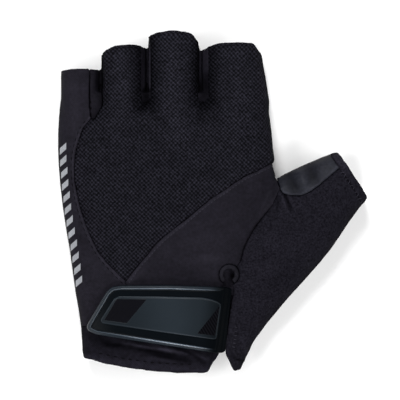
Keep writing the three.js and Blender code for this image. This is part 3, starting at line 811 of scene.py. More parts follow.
@dataclass
class Panel:
    """A sewn panel of cloth that stands for one CAD node."""

    PULL = 0.5
    PUSH = 0.4
    OVER_FLOOR = 0.02 * MM
    PALM_FILL = 0.4
    STEEPNESS = 2.2
    # How level a wall is where it begins to be lit as the back is, and where it is wholly.
    UPRIGHT = 0.05
    LEVEL = 0.75

    node: str
    finish: Finish
    seams: tuple[Seam, ...] = ()
    folds: tuple[Fold, ...] = ()
    voxel: float = 0.55 * MM
    unevenness: float = 0.22 * MM
    wave: float = 22 * MM
    soften: int = 2
    shade: float = 1.0
    # Share of the colour left on upright walls: painted shade.
    side: float = 0.5
    meets_palm: bool = True

    def outward(self, normals: Array) -> Array:
        """Direction of the wall's outer side, of length 1 on the back and 0 on upright walls."""
        level = normals[:, 2:3]
        return normals * np.sign(level) * np.clip(np.abs(level) * self.STEEPNESS, 0, 1)

    def build(self, form: Form) -> Piece:
        """Makes the panel from its CAD node.

        Args:
            form: the smoothed form that it follows.

        Returns:
            The finished piece.
        """
        piece = joined_copy(self.node + "_cloth", [self.node])
        remeshed(piece, self.voxel)
        source, _ = arrays(piece.data)
        put_points(piece.data, form.move(source))
        smooth, normals = arrays(piece.data)
        height = drape(source, self.wave, self.unevenness, len(self.node))
        shade = np.full(len(source), self.shade)
        seams = self.seams + ((SIDE_SEAM,) if self.node in CUTS and self.meets_palm else ())
        laid = [seam.lay(source, surface_tree(seam.neighbour)) for seam in seams]
        laid += [fold.lay(smooth) for fold in self.folds]
        for rise, tone, drawn in laid:
            height += rise
            shade *= tone
            smooth = smooth + drawn
        # Painted shade: walls that turn away from the top are darkened as if in their own shadow.
        level = np.abs(normals[:, 2])
        shade *= self.side + (1 - self.side) * smoothstep(level, self.UPRIGHT, self.LEVEL)
        shaped = smooth + self.outward(normals) * height[:, None]
        shaped = relaxed(shaped, edge_pairs(piece.data), self.soften, self.PULL, self.PUSH)
        shaped[:, 2] = np.maximum(shaped[:, 2], self.OVER_FLOOR)
        put_points(piece.data, shaped)
        dress(piece, source, self.finish, shade)
        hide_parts(self.node)
        self.declare()
        return piece

    def declare(self) -> None:
        """Does nothing; the palm is lightly padded and the rest is cut from the flat, but neither is
        declared here.
        """
        if self.node not in CUTS:
            return


def finished(
    shape: bmesh.types.BMesh, name: str, finish: Finish, shade: Array | float = 1.0
) -> Piece:
    """Turns a bmesh into a smooth-shaded object that rides on the glove.

    Args:
        shape: the bmesh, which is freed.
        name: the object's name.
        finish: its finish.
        shade: the colour's multiplier.

    Returns:
        The object.
    """
    mesh = bpy.data.meshes.new(name)
    shape.to_mesh(mesh)
    shape.free()
    mesh.polygons.foreach_set("use_smooth", [True] * len(mesh.polygons))
    made = in_scene(name, mesh)
    dress(made, arrays(mesh)[0], finish, shade)
    return made


def plan_hull(node: str) -> Array:
    """Outline of a CAD node in plan, anticlockwise.

    Args:
        node: the node's name.

    Returns:
        Its convex outline, one row for each corner.
    """
    points = sorted({(round(v.co.x, 5), round(v.co.y, 5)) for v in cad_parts[node].data.vertices})
    halves = []
    for row in (points, points[::-1]):
        half: list[tuple[float, float]] = []
        for p in row:
            while len(half) > 1:
                a, b = half[-2], half[-1]
                if (b[0] - a[0]) * (p[1] - a[1]) - (b[1] - a[1]) * (p[0] - a[0]) > 1e-10:
                    break
                half.pop()
            half.append(p)
        halves += half[:-1]
    return np.array(halves)


def eased(outline: Array, radius: float, steps: int = 5) -> Array:
    """A convex outline with its corners rounded.

    Args:
        outline: corners, anticlockwise.
        radius: how far from a corner its rounding begins.
        steps: points of each rounding.

    Returns:
        The rounded outline.
    """
    made = []
    for before, corner, after in zip(np.roll(outline, 1, axis=0), outline, np.roll(outline, -1, axis=0)):
        back, ahead = before - corner, after - corner
        room = min(radius, np.linalg.norm(back) * 0.45, np.linalg.norm(ahead) * 0.45)
        start = corner + back / np.linalg.norm(back) * room
        stop = corner + ahead / np.linalg.norm(ahead) * room
        for t in np.linspace(0, 1, steps):
            made.append((1 - t) ** 2 * start + 2 * t * (1 - t) * corner + t**2 * stop)
    return np.array(made)


def depth_in(points: Array, outline: Array) -> Array:
    """How deep each plan point lies inside a convex outline.

    Args:
        points: one row of x and y for each point.
        outline: corners, anticlockwise.

    Returns:
        Distance to the nearest side, below zero outside.
    """
    depth = np.full(len(points), np.inf)
    for a, b in zip(outline, np.roll(outline, -1, axis=0)):
        way = (b - a) / max(np.linalg.norm(b - a), TINY)
        inward = np.array([-way[1], way[0]])
        depth = np.minimum(depth, (points - a) @ inward)
    return depth


def profile(distance: Array, table: tuple[tuple[float, float], ...]) -> Array:
    """Heights in metres at distances in metres, from a table of both in millimetres."""
    places, heights = zip(*table)
    return np.interp(distance / MM, places, heights) * MM


@dataclass
class StrapTab:
    """The moulded tab that closes the wrist: rim, channel, framed plate, dark inlay, hatched corner."""

    cell: float = 0.25 * MM
    floor_thickness: float = 1.1 * MM
    skirt: float = 2.4 * MM
    skirt_width: float = 1.2 * MM
    corner: float = 1.6 * MM
    dip: float = 2.0 * MM
    dip_length: float = 4.2 * MM
    hatch_pitch: float = 1.25 * MM
    hatch_height: float = 0.12 * MM
    sunk_height: float = 0.08 * MM
    # Distance in from the edge and height over the channel, both in millimetres: two lines with a
    # shallow groove between them, then the fall to the channel.
    rim: tuple[tuple[float, float], ...] = (
        (-1, -0.5), (0, -0.5), (0.15, 0.0), (0.35, 0.4), (0.6, 0.6), (0.85, 0.56), (1.05, 0.46),
        (1.25, 0.55), (1.45, 0.84), (1.6, 0.86), (1.8, 0.5), (2.0, 0.1), (2.3, 0.0), (60, 0.0),
    )
    # The colour's multiplier across the same edge: a painted highlight along the rim's inner line, on a
    # lighter rim round a dark channel.
    rim_tone: tuple[tuple[float, float], ...] = (
        (-1, 0.5), (0, 0.5), (0.3, 0.95), (0.7, 1.1), (1.0, 0.6), (1.25, 1.0), (1.5, 2.4), (1.75, 0.7),
        (2.0, 0.2), (60, 0.2),
    )
    # The same for the plate: a thin raised frame and the flat face inside it.
    frame_line: tuple[tuple[float, float], ...] = (
        (-1, 0.1), (0, 0.1), (0.12, 0.35), (0.3, 0.55), (0.5, 0.5), (0.7, 0.38), (1.0, 0.36), (60, 0.36),
    )
    # The same for what is set into the plate.
    inset_edge: tuple[tuple[float, float], ...] = ((-1, 0.2), (0, 0.28), (0.2, 0.33), (60, 0.33))
    # Corners of the hatched corner on the photo's frame, anticlockwise.
    hatched: tuple[tuple[float, float], ...] = ((197.4, 332.3), (215.0, 334.3), (219.6, 304.8))
    # The end beside the thumb on the photo's frame, from its lower corner to its upper one.
    end_edge: tuple[tuple[float, float], ...] = ((223.5, 351), (232.3, 287))
    # Where the rim's painted highlight and the plate's painted pool of light lie, and the painted shadow
    # on the end that goes in under the thumb.
    middle_of_rim: tuple[float, float] = (168, 316)
    middle_of_plate: tuple[float, float] = (172, 316)
    tucked_end_shadow: float = 0.12
    rim_shine_width: float = 17 * MM
    plate_shine_width: float = 13 * MM
    # Painted highlight: how much lighter the middle of the rim is along its lower side and along its
    # upper one.
    rim_shine: tuple[float, float] = (3.6, 1.6)

    def __post_init__(self) -> None:
        """Fits the smooth surface that the tab follows to the frame's tab."""
        self.outline = plan_hull("strap_tab")
        self.plate = plan_hull("strap_plate")
        self.inlay = plan_hull("strap_inlay")
        self.corner_piece = photo_line(*self.hatched)
        self.round_outline = eased(self.outline, self.corner)
        self.round_plate = eased(self.plate, self.corner)
        tree = surface_tree("strap_tab")
        low, high = self.outline.min(axis=0), self.outline.max(axis=0)
        steps = [np.linspace(low[i], high[i], 40) for i in (0, 1)]
        grid = np.array([(x, y) for x in steps[0] for y in steps[1]])
        inner = grid[depth_in(grid, self.outline) > 2.4 * MM]
        heights = np.array([from_above(tree, x, y)[0].z for x, y in inner])
        self.middle = self.outline.mean(axis=0)
        self.weights = np.linalg.lstsq(self.powers(inner), heights, rcond=None)[0]

    def powers(self, points: Array) -> Array:
        """Terms of the fitted surface at plan points."""
        x, y = ((points - self.middle) / (30 * MM)).T
        return np.stack([x**i * y**j for i in range(5) for j in range(3)], axis=1)

    def base(self, points: Array) -> Array:
        """Height of the channel's floor at plan points."""
        return self.powers(points) @ self.weights

    def end(self, points: Array) -> Array:
        """Measures how far plan points lie from the end beside the thumb.

        Args:
            points: plan points.

        Returns:
            Distances in metres, below zero beyond the end.
        """
        low, high = photo_line(*self.end_edge)
        way = (high - low) / np.linalg.norm(high - low)
        return (points - low) @ np.array([-way[1], way[0]])

    def fall(self, points: Array) -> Array:
        """How far the tab dips towards the end that goes in under the thumb's cloth."""
        return self.dip * (1 - smoothstep(self.end(points), 0.3 * MM, self.dip_length))

    def tab_height(self, points: Array) -> Array:
        """Height over the base of the tab's rim and channel.

        Args:
            points: plan points.

        Returns:
            Heights in metres.
        """
        rim = profile(depth_in(points, self.round_outline), self.rim)
        raised = smoothstep(self.end(points), 2.5 * MM, 8 * MM)
        return np.where(rim > 0, rim * raised, rim) - self.fall(points)

    def tab_under(self, points: Array) -> Array:
        """Height over the base of the tab's underside, lower at its skirt.

        Args:
            points: plan points.

        Returns:
            Heights in metres.
        """
        skirt = depth_in(points, self.round_outline) < self.skirt_width
        left = self.end(points) > 2 * self.dip_length
        return -np.where(skirt & left, self.skirt, self.floor_thickness) - self.fall(points)

    def plate_height(self, points: Array) -> Array:
        """Height over the base of the plate, sunk under what is set into it.

        Args:
            points: plan points.

        Returns:
            Heights in metres.
        """
        face = profile(depth_in(points, self.round_plate), self.frame_line)
        for outline in (self.inlay, self.corner_piece):
            sunk = smoothstep(depth_in(points, outline), -0.1 * MM, 0.15 * MM)
            face = face * (1 - sunk) + self.sunk_height * sunk
        return face - self.fall(points)

    def ribs(self, points: Array) -> Array:
        """1 on the middle of each rib of the hatched corner, and 0 half way to the next."""
        across = (points[:, 0] * 0.9 + points[:, 1] * 0.55) / self.hatch_pitch * 2 * math.pi
        return 0.5 + 0.5 * np.cos(across)

    def inset_height(self, outline: Array, hatch: float) -> HeightRule:
        """Height over the base of a piece set into the plate.

        Args:
            outline: the piece's outline in plan.
            hatch: height of the ribs on it.

        Returns:
            A function of plan points.
        """

        def height(points: Array) -> Array:
            """Height at plan points.

            Args:
                points: plan points.

            Returns:
                Heights in metres.
            """
            depth = depth_in(points, outline)
            ribs = hatch * self.ribs(points) ** 2
            inner = smoothstep(depth, 0.3 * MM, 0.7 * MM)
            return profile(depth, self.inset_edge) + ribs * inner - self.fall(points)

        return height

    def slab(
        self,
        name: str,
        outline: Array,
        top: HeightRule,
        under: HeightRule,
        finish: Finish,
        shade: HeightRule | None = None,
    ) -> Piece:
        """A closed moulded piece between two height rules, cut to an outline.

        Args:
            name: the piece's name.
            outline: its outline in plan.
            top: height of its face over the base.
            under: height of its underside over the base.
            finish: its finish.
            shade: the colour's multiplier at plan points, if it isn't 1.

        Returns:
            The finished piece.
        """
        low, high = outline.min(axis=0) - self.cell, outline.max(axis=0) + self.cell
        size = high - low
        counts = [int(math.ceil(side / self.cell)) for side in size]
        shape = bmesh.new()
        bmesh.ops.create_grid(shape, x_segments=counts[0], y_segments=counts[1], size=0.5)
        bmesh.ops.scale(shape, vec=(size[0], size[1], 1), verts=shape.verts)
        bmesh.ops.translate(shape, vec=(*(low + size / 2), 0), verts=shape.verts)
        for a, b in zip(outline, np.roll(outline, -1, axis=0)):
            if np.linalg.norm(b - a) < 1e-6:
                continue
            outward = Vector((b[1] - a[1], a[0] - b[0], 0)).normalized()
            geometry = shape.verts[:] + shape.edges[:] + shape.faces[:]
            bmesh.ops.bisect_plane(
                shape, geom=geometry, dist=1e-7, plane_co=(*a, 0), plane_no=outward, clear_outer=True
            )
        bmesh.ops.remove_doubles(shape, verts=shape.verts, dist=0.01 * MM)
        bottom = shape.verts[:]
        made = bmesh.ops.extrude_face_region(shape, geom=shape.faces[:])
        upper = [item for item in made["geom"] if isinstance(item, bmesh.types.BMVert)]
        for verts, rule in ((upper, top), (bottom, under)):
            flat = np.array([v.co[:2] for v in verts])
            for vert, height in zip(verts, self.base(flat) + rule(flat)):
                vert.co.z = height
        bmesh.ops.recalc_face_normals(shape, faces=shape.faces)
        tones = shade(np.array([v.co[:2] for v in shape.verts])) if shade else 1.0
        return finished(shape, name, finish, tones)

    def tab_tone(self, points: Array) -> Array:
        """Paints highlights on the rim, darkens the channel and paints shadow on the end that goes in
        under the thumb.

        Args:
            points: plan points.

        Returns:
            The colour's multipliers.
        """
        edge = depth_in(points, self.round_outline)
        tone = profile(edge, self.rim_tone) / MM
        middle = plan(*self.middle_of_rim)
        across = bumped(points[:, 0], middle[0], self.rim_shine_width)
        shine = across * bumped(edge, 1.5 * MM, 0.3 * MM)
        tone = tone * (1 + np.where(points[:, 1] < middle[1], *self.rim_shine) * shine)
        # Painted shadow on the end that goes in under the thumb.
        shown = smoothstep(self.end(points), 4 * MM, 12 * MM)
        return self.tucked_end_shadow + (tone - self.tucked_end_shadow) * shown

    def plate_tone(self, points: Array) -> Array:
        """Paints a highlight on the plate's frame and a soft pool of light on the middle of its face, and
        paints shade towards the end under the thumb.

        Args:
            points: plan points.

        Returns:
            The colour's multipliers.
        """
        edge = bumped(depth_in(points, self.round_plate), 0.32 * MM, 0.26 * MM)
        middle = bumped(points[:, 0], plan(*self.middle_of_plate)[0], self.plate_shine_width)
        near_end = smoothstep(self.end(points), 3 * MM, 14 * MM)
        return (0.6 + 0.4 * middle) * (0.35 + 0.65 * near_end) + 0.45 * edge

    def hatch_tone(self, points: Array) -> Array:
        """The multiplier of the hatched corner: lighter on its ribs."""
        return 0.4 + 1.1 * self.ribs(points) ** 3

    def dark_tone(self, points: Array) -> Array:
        """The multiplier of what is set into the plate: painted shade towards the end under the thumb."""
        return 0.5 + 0.5 * smoothstep(self.end(points), 10 * MM, 14 * MM)

    def build(self) -> None:
        """Makes the tab, its plate and the two pieces set into it."""

        def under(height: float) -> HeightRule:
            """Rule of a flat underside at a height over the base."""
            return lambda points: height - self.fall(points)

        tab = self.slab("strap_tab_rubber", self.round_outline, self.tab_height, self.tab_under, RUBBER,
                        self.tab_tone)
        plate = self.slab("strap_plate_rubber", self.round_plate, self.plate_height, under(0.02 * MM),
                          SLATE_RUBBER, self.plate_tone)
        inlay = self.slab("strap_inlay_rubber", eased(self.inlay, 0.5 * MM),
                          self.inset_height(self.inlay, 0.0), under(0.1 * MM), DARK_RUBBER,
                          self.dark_tone)
        hatched = self.slab("strap_hatched_corner", eased(self.corner_piece, 0.4 * MM),
                            self.inset_height(self.corner_piece, self.hatch_height), under(0.1 * MM),
                            DARK_RUBBER, self.hatch_tone)
        for piece, node in ((tab, "strap_tab"), (plate, "strap_plate"), (inlay, "strap_inlay")):
            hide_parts(node)


def seam_path(node: str, neighbour: str, axis: int, near: float = 0.45 * MM) -> Array:
    """Line along which one panel meets another, on the upper side of the glove.

    Args:
        node: the panel.
        neighbour: the panel beyond the seam.
        axis: 0 to order the line by x, 1 to order it by y.
        near: how close a point of the seam lies to the neighbour.

    Returns:
        Plan points in order, evenly spaced.
    """
    tree = surface_tree(neighbour)
    own = surface_tree(node)
    kept = []
    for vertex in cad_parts[node].data.vertices:
        found = tree.find_nearest(vertex.co, near)
        if found[0] is None:
            continue
        above = own.ray_cast(vertex.co + Vector((0, 0, 1)), Vector((0, 0, -1)))
        if above[0] is None or above[0].z - vertex.co.z < 0.3 * MM:
            kept.append((vertex.co.x, vertex.co.y))
    points = np.array(sorted(kept, key=lambda p: p[axis]))
    spacing = 2.5 * MM
    groups = np.round((points[:, axis] - points[0, axis]) / spacing).astype(int)
    means = np.array([points[groups == g].mean(axis=0) for g in sorted(set(groups))])
    return evened(means, 0.5 * MM)


def lengths_along(line: Array) -> Array:
    """Length of a line up to each of its points."""
    return np.concatenate([[0], np.cumsum(np.linalg.norm(np.diff(line, axis=0), axis=1))])


def along_line(line: Array, lengths: Array, place: Array | float) -> Array:
    """x and y of the line at one length along it, or at several."""
    return np.array([np.interp(place, lengths, line[:, i]) for i in (0, 1)])


def evened(line: Array, step: float) -> Array:
    """A line with points at even distances.

    Args:
        line: plan points.
        step: about how far apart the new points are.

    Returns:
        The new points.
    """
    lengths = lengths_along(line)
    places = np.linspace(0, lengths[-1], max(int(lengths[-1] / step), 2))
    even = along_line(line, lengths, places).T
    smoothing_rounds = 6
    for _ in range(smoothing_rounds):
        even[1:-1] = even[1:-1] * 0.5 + (even[:-2] + even[2:]) * 0.25
    return even


def beside(line: Array, distance: float) -> Array:
    """Moves a line to its left in plan.

    Args:
        line: plan points.
        distance: how far, in metres.

    Returns:
        The moved points.
    """
    way = np.gradient(line, axis=0)
    way /= np.linalg.norm(way, axis=1)[:, None]
    return line + np.stack([-way[:, 1], way[:, 0]], axis=1) * distance


@dataclass
class Stitching:
    """A row of stitches along a line in plan, laid on a piece of cloth.

    A stitch that comes out too short or too long, as a share of its length or the pitch, is left out.
    """

    SHORTEST = 0.2
    LONGEST = 2.5

    name: str
    line: Array
    on: list[Piece]
    finish: Finish = THREAD
    pitch: float = 3.0 * MM
    length: float = 1.9 * MM
    radius: float = 0.2 * MM
    sunk: float = 0.05 * MM
    zigzag: float = 0.0
    square: bool = False

    def build(self) -> Piece:
        """Makes the stitches.

        Returns:
            The finished piece, one mesh with all the stitches of the row.
        """
        trees = [finished_tree(piece) for piece in self.on]
        lengths = lengths_along(self.line)
        count = int(lengths[-1] / self.pitch)
        shape = bmesh.new()
        for number in range(count):
            start = (number + 0.5) * self.pitch
            ends = []
            for side, share in ((-1, -0.5), (1, 0.5)):
                place = along_line(self.line, lengths, start + share * self.length)
                if self.zigzag:
                    turn = side * (1 if number % 2 else -1)
                    ahead = along_line(self.line, lengths, start + self.length)
                    way = (ahead - place) / max(np.linalg.norm(ahead - place), TINY)
                    place = place + np.array([-way[1], way[0]]) * self.zigzag * turn
                ends.append(self.land(place, trees))
            if self.square and ends[0] is not None and ends[1] is not None:
                middle = (ends[0] + ends[1]) / 2
                half = (ends[1] - ends[0]) / 2
                turned = Vector((-half.y, half.x, 0))
                ends = [self.land(np.array((middle + turned * s)[:2]), trees) for s in (-1, 1)]
            if ends[0] is None or ends[1] is None:
                continue
            way = ends[1] - ends[0]
            if not self.SHORTEST * self.length <= way.length <= self.LONGEST * self.pitch:
                continue
            turn = way.to_track_quat("X", "Z").to_matrix().to_4x4()
            turn.translation = (ends[0] + ends[1]) / 2 - Vector((0, 0, self.sunk))
            made = bmesh.ops.create_uvsphere(shape, u_segments=6, v_segments=4, radius=1)
            bmesh.ops.rotate(shape, verts=made["verts"], matrix=ACROSS)
            bmesh.ops.scale(shape, verts=made["verts"], vec=(way.length / 2, self.radius, self.radius))
            bmesh.ops.transform(shape, verts=made["verts"], matrix=turn)
        return finished(shape, self.name, self.finish)

    def land(self, place: Array, trees: list[BVHTree]) -> Vector | None:
        """Highest point of the cloth at a plan point.

        Args:
            place: x and y.
            trees: surfaces of the cloth.

        Returns:
            The point, or nothing beside the cloth.
        """
        best = None
        for tree in trees:
            hit, _ = from_above(tree, *place)
            if hit is not None and (best is None or hit.z > best.z):
                best = hit
        return best


@dataclass
class SlitUnderlap:
    """The strap's cloth where it goes in under the thumb's lip: it shows through the keyhole."""

    width: float = 13 * MM
    length: float = 24 * MM
    below: float = 1.9 * MM
    thickness: float = 0.5 * MM
    middle: tuple[float, float] = (230, 284)
    columns: int = 26
    rows: int = 48
    # Painted shade in the hollow beside the ring: its place, how narrow it is across and along, and its
    # tones.
    dark_at: tuple[float, float] = (231.5, 276)
    dark_form: tuple[float, float] = (1.5, 0.8)
    dark_width: float = 2.2 * MM
    tone: float = 0.95
    hollow_painted_shade: float = 0.8

    def build(self) -> Piece:
        """Makes the strip parallel to the keyhole's ring and a little below it.

        Returns:
            The finished piece.
        """
        ring, _ = arrays(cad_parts["keyhole_binding"].data)
        terms = np.c_[ring[:, :2], np.ones(len(ring))]
        slope_x, slope_y, height = np.linalg.lstsq(terms, ring[:, 2], rcond=None)[0]
        centre = plan(*self.middle)
        shape = bmesh.new()
        bmesh.ops.create_grid(shape, x_segments=self.columns, y_segments=self.rows, size=0.5)
        bmesh.ops.scale(shape, vec=(self.width, self.length, 1), verts=shape.verts)
        bmesh.ops.translate(shape, vec=(*centre, 0), verts=shape.verts)
        for vert in shape.verts:
            vert.co.z = slope_x * vert.co.x + slope_y * vert.co.y + height - self.below
        bmesh.ops.solidify(shape, geom=shape.faces, thickness=self.thickness)
        bmesh.ops.recalc_face_normals(shape, faces=shape.faces)
        away = np.array([v.co[:2] for v in shape.verts]) - plan(*self.dark_at)
        hollow = bumped(np.linalg.norm(away * self.dark_form, axis=1), 0.0, self.dark_width)
        piece = finished(shape, "strap_web_underlap", ELASTANE, self.tone - self.hollow_painted_shade * hollow)
        return piece


@dataclass
class SilverBars:
    """Plain slanted reflective bars down the little finger's side."""

    side: Piece
    count: int = 12
    first: float = 149
    last: float = 281
    height: float = 3.0 * MM
    width: float = 3.0 * MM
    inset: float = 1.0 * MM
    slant: float = 1.3 * MM
    thickness: float = 0.1 * MM
    # Height over the cloth in millimetres.
    lift: float = 0.05

    def edge(self, tree: BVHTree, y: float) -> float:
        """Where the glove's side begins, seen from above.

        Args:
            tree: the side panel's surface.
            y: where along the glove.

        Returns:
            x of the first cloth.
        """
        x = CAD_BOX[0][0] - 2 * MM
        while from_above(tree, x, y)[0] is None:
            x += EDGE_STEP
        return x

    def build(self) -> Piece:
        """Makes the bars on the side panel's cloth.

        Returns:
            The finished piece.
        """
        tree = finished_tree(self.side)
        shape = bmesh.new()
        for row in np.linspace(self.first, self.last, self.count):
            middle = plan(0, row)[1]
            left = self.edge(tree, middle) + self.inset
            made = bmesh.ops.create_grid(shape, x_segments=6, y_segments=6, size=0.5)
            for vert in made["verts"]:
                across, up = vert.co.x + 0.5, vert.co.y
                x = left + across * self.width
                y = middle + up * self.height + (across - 0.5) * self.slant * 2
                hit, normal = from_above(tree, x, y)
                if hit is None:
                    hit, normal, _, _ = tree.find_nearest(Vector((x, y, 12 * MM)))
                vert.co = hit + normal * self.lift * MM
        bmesh.ops.recalc_face_normals(shape, faces=shape.faces)
        bmesh.ops.solidify(shape, geom=shape.faces, thickness=-self.thickness)
        bmesh.ops.recalc_face_normals(shape, faces=shape.faces)
        piece = finished(shape, "reflective_bars", SILVER_FILM)
        return piece


def build_camera() -> None:
    """Looks straight down at the glove, as the photo does."""
    data = bpy.data.cameras.new("camera")
    data.lens = 300
    data.sensor_width = 36
    camera = in_scene("camera", data)
    middle = plan(PHOTO_SIDE / 2, PHOTO_SIDE / 2)
    reference_height = 10 * MM
    distance = PHOTO_SIDE * PHOTO_PIXEL * data.lens / data.sensor_width
    camera.location = (middle[0], middle[1], reference_height + distance)
    data.clip_start = 0.01
    data.clip_end = 20
    bpy.context.scene.camera = camera


@dataclass(frozen=True)
class SoftLight:
    """A broad studio lamp aimed at the glove."""

    name: str
    place: tuple[float, float, float]
    size: float
    power: float

    def build(self) -> None:
        """Puts the lamp in the scene."""
        data = bpy.data.lights.new(self.name, "AREA")
        data.shape = "DISK"
        data.size = self.size
        data.energy = self.power
        lamp = in_scene(self.name, data)
        lamp.location = self.place
        lamp.rotation_euler = (-Vector(self.place)).to_track_quat("-Z", "Y").to_euler()


def build_studio() -> None:
    """Pale floor, pale surroundings and soft lamps."""
    shape = bmesh.new()
    bmesh.ops.create_grid(shape, x_segments=1, y_segments=1, size=3.0)
    mesh = bpy.data.meshes.new("floor")
    shape.to_mesh(mesh)
    shape.free()
    floor = in_scene("floor", mesh)
    paper = blank_material("white_paper_floor")
    tree = paper.node_tree
    place = add_node(tree, "TexCoord").outputs["Object"]
    tone = blended(tree, noise(tree, place, 40.0, 2.0).outputs["Fac"], "fafafa", "ffffff")
    shader = add_node(tree, "BsdfPrincipled", {"Roughness": 0.9}, {"Base Color": tone})
    add_node(tree, "OutputMaterial", {}, {"Surface": shader.outputs[0]})
    mesh.materials.append(paper)
    world = bpy.data.worlds.new("studio")
    world.use_nodes = True
    sky = world.node_tree.nodes["Background"].inputs
    sky["Color"].default_value = (1, 1, 1, 1)
    sky["Strength"].default_value = 0.1
    bpy.context.scene.world = world
    for lamp in (
        SoftLight("back_lamp", (-0.2, 1.0, 1.0), 0.7, 17),
        SoftLight("front_lamp", (0.1, -1.0, 0.9), 0.6, 13),
        SoftLight("left_lamp", (-1.1, -0.1, 0.9), 0.8, 10),
        SoftLight("right_lamp", (1.1, 0.1, 0.9), 0.8, 8),
    ):
        lamp.build()
    bpy.context.scene.view_settings.view_transform = "Standard"


